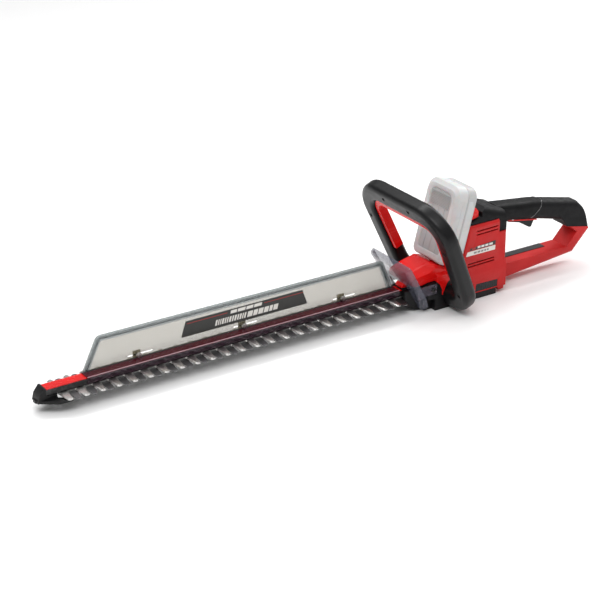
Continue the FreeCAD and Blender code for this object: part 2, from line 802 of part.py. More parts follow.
def place_primitive(piece):
    """Keeps a primitive's own base and turn while it gets the assembly's shift."""
    base = piece.Placement.Base
    return place(piece, (base.x, base.y, base.z), piece.Placement.Rotation)


def motor(pinion_axis):
    """Motor can with its magnets' ring and two bearings, standing on the frame."""
    body = new_body("motor_can")
    wall = new_sketch(body, "XY_Plane", 41)
    circle(wall, pinion_axis, 0, 20)
    circle(wall, pinion_axis, 0, 18.2)
    pad(body, wall, 56)
    floor = new_sketch(body, "XY_Plane", 41)
    circle(floor, pinion_axis, 0, 19)
    circle(floor, pinion_axis, 0, 6.5)
    pad(body, floor, 2)
    roof = new_sketch(body, "XY_Plane", 97)
    circle(roof, pinion_axis, 0, 20)
    circle(roof, pinion_axis, 0, 5.5)
    pad(body, roof, 2)
    place(body)
    ring = new_body("motor_magnets")
    sketch = new_sketch(ring, "XY_Plane", 50)
    circle(sketch, pinion_axis, 0, 18.1)
    circle(sketch, pinion_axis, 0, 14)
    pad(ring, sketch, 40)
    place(ring)
    bearings = []
    for number, (height, radius) in enumerate(((41, 6.4), (97, 5.4))):
        outer = cylinder(f"bearing_outer_{number}", radius, 2, (pinion_axis, 0, height))
        inner = cylinder(f"bearing_bore_{number}", 2.55, 2, (pinion_axis, 0, height))
        bearings.append(cut(f"bearing_{number}", outer, inner))
    group("motor_bearings", bearings)


# ---------------------------------------------------------------- housings

def base_housing():
    """Black tray under everything, with a nose under the blades and cheeks beside the rail."""
    body = new_body("base_housing")
    half = DRIVING["body_half"]
    tray = new_sketch(body, "XY_Plane")
    rounded(tray, [(602, -15), (630, -22), (643, -half), (774.6, -half), (774.6, half),
                   (643, half), (630, 22), (602, 15)], [5, 6, 4, 3, 3, 4, 6, 5])
    pad(body, tray, 46)
    nose = new_sketch(body, "XZ_Plane")
    polygon(nose, [(595, -5), (640, -5), (640, 0), (627, 3.5), (612, 10.5), (604, 19.2),
                   (611.5, 19.2), (611.5, 60), (595, 60)])
    pocket(body, nose, 100, middle=True)
    rear = new_sketch(body, "XZ_Plane")
    polygon(rear, [(684, size("base_roof")), (830, size("base_roof")), (830, 60), (684, 60)])
    pocket(body, rear, 100, middle=True)
    slope = new_sketch(body, "XZ_Plane")
    polygon(slope, [(590, 34), (622, 34), (646, 46.5), (590, 46.5)])
    pocket(body, slope, 100, middle=True)
    base_hollows(body)
    place(body)
    guard_screws()


def base_hollows(body):
    """Channels for the blades and the rail, the gear's pit and the holes of the axle and screws."""
    channel = new_sketch(body, "XY_Plane", 19.4)
    rectangle(channel, 590, 668, -12.2, 12.2)
    pocket(body, channel, 60, backwards=True)
    shelf = new_sketch(body, "XY_Plane", size("rail_roof") - 0.3)
    rectangle(shelf, 590, 668, -14.4, 14.4)
    pocket(body, shelf, 60, backwards=True)
    toes = new_sketch(body, "XY_Plane", 20)
    for side in (-1, 1):
        polygon(toes, [(620, side * 21.5), (641.5, side * 21.5), (641.5, side * 27),
                       (655, side * 27), (655, side * 40), (620, side * 40)])
    pocket(body, toes, 30)
    pit = new_sketch(body, "XY_Plane", 14)
    rounded(pit, [(660, -32), (766, -32), (766, 32), (660, 32)], [6] * 4)
    pocket(body, pit, 60, backwards=True)
    socket = new_sketch(body, "XY_Plane", 5)
    circle(socket, size("gear_axis"), 0, 3)
    pocket(body, socket, 30, backwards=True)
    pilots = new_sketch(body, "XZ_Plane")
    circle(pilots, *GUARD_SCREW, 1.9)
    pocket(body, pilots, 100, middle=True)


def guard_screws():
    """One screw through each tab of the guard into the housing's side."""
    face = DRIVING["body_half"] + 2.5
    across, up = GUARD_SCREW
    members = [screw(f"guard_screw_{side + 2}", 3.9, 2.2, 1.9, 9, (across, side * face, up),
                     (0, -side, 0)) for side in (-1, 1)]
    group("guard_screws", members)


def gearbox_cover():
    """The red nose over the front of the frame, with a tongue over the rail's end."""
    body = new_body("gearbox_cover")
    side = new_sketch(body, "XZ_Plane")
    polygon(side, [(614, 52), (620, 44.5), (637, 44.5), (642, 46.7), (686, 46.7), (686, 61),
                   (670, 69), (657, 72), (640, 69.5), (622, 62), (615, 57)])
    pad(body, side, 62, middle=True)
    dress_edges(body, "Chamfer", 8, lambda box: box.YMax - box.YMin < 0.01 and box.ZMin > 56
                and box.XMax - box.XMin > 1)
    tongue = new_sketch(body, "XZ_Plane")
    polygon(tongue, [(613.5, 36.6), (646, 36.6), (646, 50), (622, 50), (609.5, 43)])
    pad(body, tongue, 20, middle=True)
    room = new_sketch(body, "XY_Plane", 36)
    rounded(room, [(626, -25), (690, -25), (690, 25), (626, 25)], [2] * 4)
    pocket(body, room, 22, backwards=True)
    return place(body)


def red_shell(label, far):
    """One half of the red housing with the lower bar of the rear handle."""
    body = new_body(label)
    half = DRIVING["body_half"] if far else -DRIVING["body_half"]
    floor = size("base_roof") + 0.2
    shoulder = size("split_height") - 22
    side = new_sketch(body, "XZ_Plane")
    polygon(side, [(687, floor), (775, floor), (778, 5), (788, 5), (791, 12), (791, shoulder),
                   (775, shoulder), (775, size("split_height")), (717.2, size("split_height")),
                   (700.2, 58), (687, 55.5)])
    pad(body, side, size("body_half"), backwards=far)
    round_edges(body, 5, lambda box: at_depth("Y", half)(box) and box.DiagonalLength > 40)
    side_flare(body, far)
    lower_bar(body, far)
    hollow_red_shell(body, far)
    shell_posts(body, far)
    side_openings(body, far)
    return place(body)


def side_flare(body, far):
    """The thicker lower part of the side, with a sloping shoulder."""
    side_of = 1 if far else -1
    outer = size("flare_half") * side_of
    flare = new_sketch(body, "YZ_Plane", 703)
    polygon(flare, [(side_of * 36, 12.2), (outer, 12.2), (outer, 46), (side_of * 36.9, 53.5),
                    (side_of * 36, 53.5)])
    pad(body, flare, 86)


def lower_bar(body, far):
    """The bar from the housing's foot to the back of the rear handle."""
    bar = new_sketch(body, "XZ_Plane")
    polygon(bar, [(783, 8.6), (812, 8.6), (947, 21), (980, 55), (975.2, 60), (938, 67.8), (952, 56),
                  (932, 34.5), (783, 34.5)])
    pad(body, bar, size("bar_half"), backwards=far)
    bar_face = at_depth("Y", DRIVING["bar_half"] if far else -DRIVING["bar_half"])
    round_edges(body, 8, lambda box: bar_face(box) and box.XMin > 811 and box.ZMin < 30
                and box.DiagonalLength > 30)


def hollow_red_shell(body, far):
    """Room for the motor, the gearbox, the battery's bay and the wires in the bar."""
    inner = new_sketch(body, "XZ_Plane")
    polygon(inner, [(689, 12), (774, 12), (788.4, 14.8), (788.4, 99), (772, 99), (772, 130),
                    (720, 130), (704, 66.5), (698, 55.5), (689, 53.5)])
    pocket(body, inner, size("body_half") - size("wall"), backwards=not far)
    throat = new_sketch(body, "XZ_Plane")
    rectangle(throat, 684, 692, 10, 46)
    pocket(body, throat, size("body_half") - 4, backwards=not far)
    bay_room = new_sketch(body, "XZ_Plane")
    polygon(bay_room, [(696, 62.3), (713, 62.3), (727, 126), (710, 126)])
    pocket(body, bay_room, 30.4, backwards=not far)
    duct = new_sketch(body, "XZ_Plane")
    polygon(duct, [(785, 13), (812, 12), (944, 24.5), (972, 54), (968, 58.2), (959, 59.5),
                   (955.5, 54.5), (934, 31), (785, 31)])
    pocket(body, duct, size("bar_half") - size("wall") - 1, backwards=not far)


def side_openings(body, far):
    """The side panel's recess and four slanting vents."""
    flare_half = size("flare_half")
    recess = new_sketch(body, "XZ_Plane", -flare_half if far else flare_half)
    polygon(recess, side_panel_outline(0))
    pocket(body, recess, 1.4, backwards=far)
    half = size("body_half")
    vents = new_sketch(body, "XZ_Plane", -half if far else half)
    for left, right, low in ((731, 772, 106), (731, 772, 111.6), (716, 767, 55.6), (716, 767, 60.4)):
        polygon(vents, [(left, low), (right, low + 1), (right, low + 3.2), (left, low + 2.2)])
    pocket(body, vents, 4, backwards=far)


def shell_posts(body, far):
    """Posts that meet at the middle, with the holes of the shell screws."""
    posts = new_sketch(body, "XZ_Plane")
    for across, up in SHELL_SCREWS:
        circle(posts, across, up, 4)
    pad(body, posts, size("body_half") - 1.5, backwards=far)
    for radius, start in ((1.7, 0), (3.6, DRIVING["body_half"] - 3)):
        if start and not far:
            continue
        holes = new_sketch(body, "XZ_Plane", -start if far else start)
        for across, up in SHELL_SCREWS:
            circle(holes, across, up, radius)
        pocket(body, holes, DRIVING["body_half"] if far else 24, backwards=not far)


def side_panel_outline(gap):
    """The recessed panel low on the side of the body."""
    return [(729 + gap, 13.6 + gap), (773 - gap, 13.6 + gap), (773 - gap, 25.8 - gap),
            (731 + gap, 26.8 - gap)]


def side_trim():
    """Grey panels and plain badges on both sides of the body."""
    half = DRIVING["body_half"]
    plates = {"side_panels": (side_panel_outline(0.2), DRIVING["flare_half"] - 1.3, 1.1),
              "dark_badges": ([(717.5, 83.5), (768, 84), (768.4, 91), (719.5, 87.5)], half, 0.4),
              "light_badges": ([(711, 75.5), (767.5, 75.5), (768, 83), (714, 82.5)], half, 0.4)}
    for label, (outline, start, depth) in plates.items():
        members = []
        for side in (-1, 1):
            plate = new_body(f"{label}_{side + 2}")
            sketch = new_sketch(plate, "XZ_Plane", -side * start)
            polygon(sketch, outline)
            pad(plate, sketch, depth, backwards=side > 0)
            members.append(plate)
        group(label, members)
    places = [(across, DRIVING["body_half"] - 1, up) for across, up in SHELL_SCREWS]
    screws("shell_screws", places, 3.3, 1.6, 1.65, 56, (0, -1, 0))


def handle_trim():
    """Red bezel on both sides of the trigger's mouth and the dark inlay of the lower bar."""
    strips = []
    for side in (-1, 1):
        strip = new_body(f"bezel_strip_{side + 2}")
        sketch = new_sketch(strip, "XZ_Plane", -side * 6.4)
        polygon(sketch, [(816, 101.2), (868, 92.2), (873, 91.1), (873, 93.25), (868, 94.45), (816, 103.45)])
        pad(strip, sketch, 3.4, backwards=side > 0)
        strips.append(strip)
    group("trigger_bezel", strips)
    inlay = new_body("bar_inlay")
    sketch = new_sketch(inlay, "XZ_Plane", -2.5)
    rectangle(sketch, 794, 903, 34.55, 35.5)
    pad(inlay, sketch, 14, backwards=True)
    place(inlay)


def trigger_spring():
    """Compression spring between the trigger and the roof of the grip."""
    coil = DOC.addObject("Part::Helix", "trigger_spring_line")
    coil.Pitch = 3
    coil.Height = 18
    coil.Radius = 3
    wire = DOC.addObject("Part::Circle", "trigger_spring_wire")
    wire.Radius = 0.45
    wire.Placement = FreeCAD.Placement(Vector(3, 0, 0), FreeCAD.Rotation(Vector(1, 0, 0), 90))
    spring = DOC.addObject("Part::Sweep", "trigger_spring")
    spring.Sections = [wire]
    spring.Spine = (coil, ["Edge1"])
    spring.Solid = True
    spring.Frenet = True
    place(spring, (851, 0, 103.4))


def black_shell(label, far):
    """One half of the black top housing with the upper grip of the rear handle."""
    body = new_body(label)
    grip = DRIVING["grip_half"] if far else -DRIVING["grip_half"]
    ring = new_sketch(body, "XZ_Plane")
    polygon(ring, [(786, 106.5), (816, 103.5), (868, 94.5), (922, 81.5), (931, 69.4), (975, 60.2),
                   (965, 96), (954, 106.5), (868, 125.5), (786, 135.5)])
    pad(body, ring, size("grip_half"), backwards=far)
    round_edges(body, 10, lambda box: at_depth("Y", grip)(box) and box.ZMax > 96 and box.ZMin > 60.5)
    block_over_body(body, far)
    hollow_black_shell(body, far)
    return place(body)


def block_over_body(body, far):
    """The block that closes the red housing's top, with a low step behind the battery."""
    split = size("split_height")
    half = size("body_half") - 3
    side = new_sketch(body, "XZ_Plane")
    polygon(side, [(742.5, split), (775, split), (775, split - 22), (791, split - 22), (791, 133),
                   (771, 139.5), (753, 145), (742.5, 141)])
    pad(body, side, half, backwards=far)
    side_face = at_depth("Y", half.value if far else -half.value)
    round_edges(body, 12, lambda box: side_face(box) and box.ZMin > 130 and box.DiagonalLength > 15)
    front = new_sketch(body, "XZ_Plane")
    polygon(front, [(717.2, split), (745, split), (745, 134), (719.8, 127.5)])
    pad(body, front, half, backwards=far)


def hollow_black_shell(body, far):
    """Room above the control board and in the grip, with the trigger's mouth and its pin's seat."""
    inner = new_sketch(body, "XZ_Plane")
    polygon(inner, [(722, 120), (772, 120), (772, 99), (788.4, 99), (788.4, 129.5), (771, 134.5),
                    (754, 139.5), (746, 136), (742, 130), (722, 125)])
    pocket(body, inner, size("body_half") - 3 - size("wall") * 3, backwards=not far)
    duct = new_sketch(body, "XZ_Plane")
    polygon(duct, [(785, 110.2), (816, 107.2), (868, 98.4), (925, 85), (934.5, 73), (969, 65.5),
                   (960.5, 93), (950, 103), (868, 121), (785, 131.5)])
    pocket(body, duct, size("grip_half") - size("wall") - 1, backwards=not far)
    mouth = new_sketch(body, "XZ_Plane")
    polygon(mouth, [(815, 85), (872, 81), (872, 103), (815, 112)])
    pocket(body, mouth, 6.4, backwards=not far)
    pin_seat = new_sketch(body, "XZ_Plane")
    circle(pin_seat, *TRIGGER_PIVOT, 1.5)
    pocket(body, pin_seat, 13, backwards=not far)


def battery_bay():
    """The sloping tray behind the battery: back wall, two guide rails and a foot."""
    body = new_body("battery_bay")
    back = new_sketch(body, "XY_Plane", size("battery_low") + 3)
    rectangle(back, 0.6, 3.2, -30, 30)
    pad(body, back, 53)
    for side in (-1, 1):
        guide = new_sketch(body, "XY_Plane", size("battery_low") + 5)
        polygon(guide, [(-4.2, side * 24), (-4.2, side * 27), (0.7, side * 27), (0.7, side * 24)])
        pad(body, guide, 50)
    return place(body, (size("battery_foot"), 0, 0), leaning(DRIVING["battery_tilt"]))


def battery():
    """Slide-on pack: front and rear case halves, five cells and a terminal block."""
    low, high = size("battery_low"), size("battery_high")
    half = size("battery_half")
    turn = leaning(DRIVING["battery_tilt"])
    foot = (size("battery_foot"), 0, 0)
    front = new_body("battery_front_case")
    case_outline = [(-half + 9, low), (half - 9, low), (half, low + 9), (half, high - 16),
                    (half - 16, high), (-half + 16, high), (-half, high - 16), (-half, low + 9)]
    room = (-half + 5.5, half - 5.5, low + 5, high - 13)
    outline = new_sketch(front, "YZ_Plane", -size("battery_depth"))
    polygon(outline, case_outline)
    pad(front, outline, 22)
    dress_edges(front, "Chamfer", 4, at_depth("X", -DRIVING["battery_depth"]))
    hollow = new_sketch(front, "YZ_Plane", -18)
    rectangle(hollow, *room)
    pocket(front, hollow, 18.5)
    place(front, foot, turn)
    rear = new_body("battery_rear_case")
    outline = new_sketch(rear, "YZ_Plane", -18)
    polygon(outline, case_outline)
    pad(rear, outline, 17.7)
    hollow = new_sketch(rear, "YZ_Plane", -18)
    rectangle(hollow, *room)
    pocket(rear, hollow, 12, backwards=True)
    grooves = new_sketch(rear, "XY_Plane", low - 1)
    for side in (-1, 1):
        polygon(grooves, [(-4.8, side * 23.4), (-4.8, side * 27.6), (1, side * 27.6), (1, side * 23.4)])
    pocket(rear, grooves, 62, backwards=True)
    place(rear, foot, turn)
    cells = [cylinder(f"cell_{number}", 9.2, 65, (-20.5, -32.5, 83.5 + 18.5 * number), (0, 1, 0))
             for number in range(5)]
    pack = DOC.addObject("Part::Compound", "battery_cells")
    pack.Links = cells
    place(pack, foot, turn)


def release_button():
    """Wide red button behind the top of the battery."""
    body = new_body("battery_release")
    side = new_sketch(body, "XZ_Plane")
    polygon(side, [(722, 129.7), (738, 133.6), (738, 142.5), (733, 149), (726.6, 148)])
    pad(body, side, 60, middle=True)
    round_edges(body, 2, lambda box: box.YMax - box.YMin > 50)
    return place(body)


def trigger():
    body = new_body("rear_trigger")
    side = new_sketch(body, "XZ_Plane")
    polygon(side, [(816.5, 108.6), (816.5, 99), (840, 93), (861, 80.5), (865, 80.5), (870, 91),
                   (870, 98.5), (830, 104.2)])
    pad(body, side, 11.6, middle=True)
    round_edges(body, 2.5, lambda box: box.YMax - box.YMin > 10 and box.ZMax < 100)
    bore = new_sketch(body, "XZ_Plane")
    circle(bore, *TRIGGER_PIVOT, 1.55)
    pocket(body, bore, 40, middle=True)
    place(body)
    pin = cylinder("trigger_pin", 1.5, 26, (TRIGGER_PIVOT[0], -13, TRIGGER_PIVOT[1]), (0, 1, 0))
    pin.Label = "trigger_pin"
    place_primitive(pin)


def electrics():
    """Switches and the control board inside the shells."""
    for label, low, high in (("rear_switch", (880, -6, 97), (900, 6, 111)),
                             ("control_board", (769, -26, 40), (771, 26, 90))):
        piece = box(label, low, high)
        piece.Label = label
        place_primitive(piece)
    block = box("terminal_body", (3.4, -18, 78), (9, 18, 94))
    terminals = DOC.addObject("Part::Compound", "terminal_block")
    terminals.Links = [block]
    place(terminals, (size("battery_foot"), 0, 0), leaning(DRIVING["battery_tilt"]))


def build():
    fill_sheet()
    guide_rail()
    red_strip()
    tip_protector()
    blade("lower_blade", size("lower_blade_floor"), size("half_stroke"))
    blade("upper_blade", size("upper_blade_floor"), -size("half_stroke"))
    blade_fasteners()
    collector()
    collector_trim()
    collector_studs()
    hand_guard()
    loop_shell("loop_front_shell", True)
    loop_shell("loop_rear_shell", False)
    front_switch_bar()
    loop_fasteners()
    pinion_axis = drive_train()
    gearbox_frame(pinion_axis)
    motor(pinion_axis)
    base_housing()
    gearbox_cover()
    for far, side in ((False, "near"), (True, "far")):
        red_shell(f"red_shell_{side}", far)
        black_shell(f"black_shell_{side}", far)
    battery_bay()
    battery()
    release_button()
    trigger()
    trigger_spring()
    side_trim()
    handle_trim()
    electrics()


def check_and_write():
    DOC.recompute()
    for item in DOC.Objects:
        if "Invalid" in item.State or "Error" in item.State:
            raise ValueError(f"{item.Name} failed: {item.State}")
    os.makedirs("parts", exist_ok=True)
    for piece in PIECES:
        shape = piece.Shape
        if shape.isNull() or not shape.isValid():
            raise ValueError(f"{piece.Label} has no valid shape")
        shape.exportStep(os.path.join("parts", f"{piece.Label}.step"))
        print(piece.Label, len(shape.Solids), round(shape.Volume / 1000, 2))


build()
check_and_write()
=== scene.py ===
import json
import math
import random

import bmesh
import bpy
from mathutils import Matrix, Vector
from mathutils.bvhtree import BVHTree


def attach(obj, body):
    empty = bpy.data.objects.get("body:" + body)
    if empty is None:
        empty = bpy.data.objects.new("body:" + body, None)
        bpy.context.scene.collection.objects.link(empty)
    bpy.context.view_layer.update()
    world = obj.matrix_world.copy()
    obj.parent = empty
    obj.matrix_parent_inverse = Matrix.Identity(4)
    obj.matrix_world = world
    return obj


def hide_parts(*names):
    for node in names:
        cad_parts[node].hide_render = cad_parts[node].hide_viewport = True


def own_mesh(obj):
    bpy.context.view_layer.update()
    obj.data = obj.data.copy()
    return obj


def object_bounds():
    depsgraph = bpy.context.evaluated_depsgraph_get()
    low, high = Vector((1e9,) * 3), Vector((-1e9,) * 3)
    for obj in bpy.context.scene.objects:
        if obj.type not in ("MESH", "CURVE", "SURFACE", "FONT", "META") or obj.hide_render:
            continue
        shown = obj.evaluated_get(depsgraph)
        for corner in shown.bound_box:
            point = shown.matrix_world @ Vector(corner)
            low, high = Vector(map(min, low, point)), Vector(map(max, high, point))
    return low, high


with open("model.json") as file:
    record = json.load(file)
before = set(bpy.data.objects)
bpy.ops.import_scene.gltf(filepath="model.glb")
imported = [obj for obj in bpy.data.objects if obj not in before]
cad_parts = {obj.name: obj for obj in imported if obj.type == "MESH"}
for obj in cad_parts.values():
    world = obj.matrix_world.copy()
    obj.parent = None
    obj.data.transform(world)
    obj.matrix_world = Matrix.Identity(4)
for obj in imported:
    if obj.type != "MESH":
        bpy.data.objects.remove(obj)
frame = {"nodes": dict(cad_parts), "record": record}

CAD_LOW, CAD_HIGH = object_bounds()
MM = 0.001               # metres
TIP = CAD_LOW.x / MM     # the tip of the cutter bar; x is measured from it, in mm, in all that follows


# ---------------------------------------------------------------- materials

def node_tree(name):
    """Makes an empty material with a Principled shader, and gives the tree and the shader."""
    material = bpy.data.materials.new(name)
    material.use_nodes = True
    tree = material.node_tree
    tree.nodes.clear()
    shader = tree.nodes.new("ShaderNodeBsdfPrincipled")
    output = tree.nodes.new("ShaderNodeOutputMaterial")
    tree.links.new(shader.outputs["BSDF"], output.inputs["Surface"])
    return material, tree, shader


def object_coordinates(tree, stretch=(1.0, 1.0, 1.0)):
    """Object coordinates in metres, multiplied by the stretch."""
    place = tree.nodes.new("ShaderNodeTexCoord")
    scale = tree.nodes.new("ShaderNodeMapping")
    scale.inputs["Scale"].default_value = stretch
    tree.links.new(place.outputs["Object"], scale.inputs["Vector"])
    return scale.outputs["Vector"]


def noise_field(tree, vector, size_mm, detail=4.0, roughness=0.55):
    """A noise from 0 to 1 whose blots are about size_mm across."""
    field = tree.nodes.new("ShaderNodeTexNoise")
    field.inputs["Scale"].default_value = 1.0 / (size_mm * MM)
    field.inputs["Detail"].default_value = detail
    field.inputs["Roughness"].default_value = roughness
    tree.links.new(vector, field.inputs["Vector"])
    return field.outputs["Fac"]


def ramp(tree, factor, stops):
    """A colour ramp: stops are (position, colour or grey)."""
    node = tree.nodes.new("ShaderNodeValToRGB")
    elements = node.color_ramp.elements
    while len(elements) < len(stops):
        elements.new(0.5)
    for element, (position, colour) in zip(elements, stops):
        element.position = position
        element.color = (colour,) * 3 + (1.0,) if isinstance(colour, float) else tuple(colour) + (1.0,)
    tree.links.new(factor, node.inputs["Fac"])
    return node.outputs["Color"]


def mix_colours(tree, factor, first, second, blend="MIX"):
    """Mixes two colours; the factor is a socket or a number."""
    node = tree.nodes.new("ShaderNodeMix")
    node.data_type = "RGBA"
    node.blend_type = blend
    for socket, value in (("Factor", factor), ("A", first), ("B", second)):
        target = next(item for item in node.inputs if item.name == socket and item.enabled)
        if isinstance(value, bpy.types.NodeSocket):
            tree.links.new(value, target)
        elif isinstance(value, float):
            target.default_value = value
        else:
            target.default_value = tuple(value) + (1.0,)
    return next(item for item in node.outputs if item.name == "Result" and item.enabled)


def bumps(tree, shader, height, depth_mm):
    """Drives the shader's normal with a height field of the depth given."""
    node = tree.nodes.new("ShaderNodeBump")
    node.inputs["Distance"].default_value = depth_mm * MM
    node.inputs["Strength"].default_value = 1.0
    tree.links.new(height, node.inputs["Height"])
    tree.links.new(node.outputs["Normal"], shader.inputs["Normal"])


def edge_wear(tree, low=0.52, high=0.62):
    """A mask that is 1 on sharp outer edges, broken up by noise."""
    geometry = tree.nodes.new("ShaderNodeNewGeometry")
    edges = ramp(tree, geometry.outputs["Pointiness"], ((low, 0.0), (high, 1.0)))
    patches = ramp(tree, noise_field(tree, object_coordinates(tree), 6.0), ((0.42, 0.0), (0.62, 1.0)))
    return mix_colours(tree, 1.0, edges, patches, "MULTIPLY")


def moulded(name, colour, rough, grain_mm=0.35, depth_mm=0.02, coat=0.0, wear=0.25, subsurface=0.0):
    """Injection-moulded plastic: spark-eroded grain, faint flow clouds, rubbed edges and handling smears."""
    material, tree, shader = node_tree(name)
    vector = object_coordinates(tree)
    clouds = noise_field(tree, vector, 60.0, 3.0)
    darker = tuple(0.86 * part for part in colour)
    lighter = tuple(min(1.0, 1.10 * part + 0.004) for part in colour)
    body = ramp(tree, clouds, ((0.25, darker), (0.75, lighter)))
    rubbed = tuple(min(1.0, part * 1.35 + 0.02) for part in colour)
    mask = mix_colours(tree, 1.0, edge_wear(tree), (wear,) * 3, "MULTIPLY")
    tree.links.new(mix_colours(tree, mask, body, rubbed), shader.inputs["Base Color"])
    smears = noise_field(tree, object_coordinates(tree, (0.35, 1.0, 1.6)), 14.0, 5.0, 0.6)
    tree.links.new(ramp(tree, smears, ((0.3, rough * 0.82), (0.7, min(1.0, rough * 1.18)))),
                   shader.inputs["Roughness"])
    grain = noise_field(tree, vector, grain_mm, 2.0, 0.5)
    bumps(tree, shader, grain, depth_mm)
    shader.inputs["Specular IOR Level"].default_value = 0.24
    shader.inputs["Coat Weight"].default_value = coat
    shader.inputs["Coat Roughness"].default_value = 0.12
    if subsurface:
        shader.inputs["Subsurface Weight"].default_value = subsurface
        shader.inputs["Subsurface Scale"].default_value = 0.004
    return material


def soft_touch(name, colour):
    """Overmoulded grip rubber: matt, with a pebbled grain and a faint sheen."""
    material, tree, shader = node_tree(name)
    vector = object_coordinates(tree)
    clouds = noise_field(tree, vector, 35.0, 4.0)
    darker = tuple(0.75 * part for part in colour)
    lighter = tuple(1.35 * part + 0.002 for part in colour)
    tree.links.new(ramp(tree, clouds, ((0.3, darker), (0.72, lighter))), shader.inputs["Base Color"])
    cells = tree.nodes.new("ShaderNodeTexVoronoi")
    cells.inputs["Scale"].default_value = 1.0 / (0.9 * MM)
    tree.links.new(vector, cells.inputs["Vector"])
    bumps(tree, shader, cells.outputs["Distance"], 0.06)
    tree.links.new(ramp(tree, noise_field(tree, vector, 9.0, 5.0), ((0.3, 0.5), (0.7, 0.68))),
                   shader.inputs["Roughness"])
    shader.inputs["Specular IOR Level"].default_value = 0.18
    return material


def ground_steel(name, colour, rough, direction=(1.0, 14.0, 14.0), stains=0.25):
    """Ground or rolled steel: fine lines along one direction, oil stains and tiny pits."""
    material, tree, shader = node_tree(name)
    lines = noise_field(tree, object_coordinates(tree, direction), 2.0, 6.0, 0.7)
    stained = noise_field(tree, object_coordinates(tree), 11.0, 6.0, 0.6)
    blots = ramp(tree, stained, ((0.45, 0.0), (0.75, 1.0)))
    body = ramp(tree, lines, ((0.2, tuple(0.82 * part for part in colour)), (0.8, colour)))
    dirty = tuple(part * 0.42 for part in colour)
    mask = mix_colours(tree, 1.0, blots, (stains,) * 3, "MULTIPLY")
    tree.links.new(mix_colours(tree, mask, body, dirty), shader.inputs["Base Color"])
    tree.links.new(ramp(tree, lines, ((0.2, rough * 0.75), (0.8, rough * 1.3))), shader.inputs["Roughness"])
    shader.inputs["Metallic"].default_value = 1.0
    bumps(tree, shader, lines, 0.012)
    return material


def coated_metal(name, colour, rough, peel_mm=1.6, chips=0.35):
    """Powder coat: orange peel, with the steel showing in small chips along the edges."""
    material, tree, shader = node_tree(name)
    vector = object_coordinates(tree)
    mask = mix_colours(tree, 1.0, edge_wear(tree, 0.55, 0.66), (chips,) * 3, "MULTIPLY")
    darker = tuple(0.88 * part for part in colour)
    lighter = tuple(min(1.0, 1.08 * part) for part in colour)
    body = ramp(tree, noise_field(tree, vector, 30.0, 3.0), ((0.3, darker), (0.7, lighter)))
    tree.links.new(mix_colours(tree, mask, body, (0.30, 0.29, 0.28)), shader.inputs["Base Color"])
    tree.links.new(ramp(tree, noise_field(tree, vector, 8.0, 4.0), ((0.3, rough * 0.8), (0.7, rough * 1.2))),
                   shader.inputs["Roughness"])
    bumps(tree, shader, noise_field(tree, vector, peel_mm, 1.0), 0.03)
    shader.inputs["Coat Weight"].default_value = 0.12
    shader.inputs["Coat Roughness"].default_value = 0.2
    return material


def clear_plastic(name, tint, haze, alpha):
    """Smoky clear plastic: tinted, hazy, with flow marks and fine scuffs."""
    cloud = 0.06
    material, tree, shader = node_tree(name)
    vector = object_coordinates(tree)
    flow = noise_field(tree, object_coordinates(tree, (0.25, 1.0, 1.0)), 40.0, 4.0)
    darker = tuple(part * (1.0 - cloud) for part in tint)
    lighter = tuple(min(1.0, part * (1.0 + cloud)) for part in tint)
    tree.links.new(ramp(tree, flow, ((0.25, darker), (0.75, lighter))), shader.inputs["Base Color"])
    scuffs = noise_field(tree, object_coordinates(tree, (0.2, 1.0, 2.0)), 5.0, 8.0, 0.7)
    tree.links.new(ramp(tree, scuffs, ((0.35, haze), (0.75, haze + 0.08))), shader.inputs["Roughness"])
    bumps(tree, shader, noise_field(tree, vector, 26.0, 1.0), 0.04)
    shader.inputs["Alpha"].default_value = alpha
    shader.inputs["IOR"].default_value = 1.5
    shader.inputs["Coat Weight"].default_value = 0.4
    shader.inputs["Coat Roughness"].default_value = 0.08
    return material


def printed_film(name, colour, rough=0.35):
    """Printed foil: even ink with a fine halftone and a faint ripple from the shell under it."""
    material, tree, shader = node_tree(name)
    vector = object_coordinates(tree)
    dots = noise_field(tree, vector, 0.25, 1.0)
    lighter = tuple(min(1.0, part * 1.18 + 0.004) for part in colour)
    tree.links.new(ramp(tree, dots, ((0.3, colour), (0.7, lighter))), shader.inputs["Base Color"])
    tree.links.new(ramp(tree, noise_field(tree, vector, 12.0), ((0.3, rough * 0.85), (0.7, rough * 1.2))),
                   shader.inputs["Roughness"])
    bumps(tree, shader, noise_field(tree, vector, 7.0, 2.0), 0.03)
    return material


# ---------------------------------------------------------------- mesh tools

def add_object(name, mesh):
    piece = bpy.data.objects.new(name, mesh)
    bpy.context.scene.collection.objects.link(piece)
    return piece


def from_bmesh(name, shape):
    bmesh.ops.recalc_face_normals(shape, faces=shape.faces)
    mesh = bpy.data.meshes.new(name)
    shape.to_mesh(mesh)
    shape.free()
    return add_object(name, mesh)


def at(x, y, z):
    """A point given in mm from the cutter bar's tip, in metres in the frame."""
    return Vector(((x + TIP) * MM, y * MM, z * MM))


def rectangle(left, right, low, high):
    return [(left, low), (right, low), (right, high), (left, high)]


def mirrored(half):
    """Half an outline, then its mirror image walked backwards."""
    return half + [(-side, up) for side, up in reversed(half)]


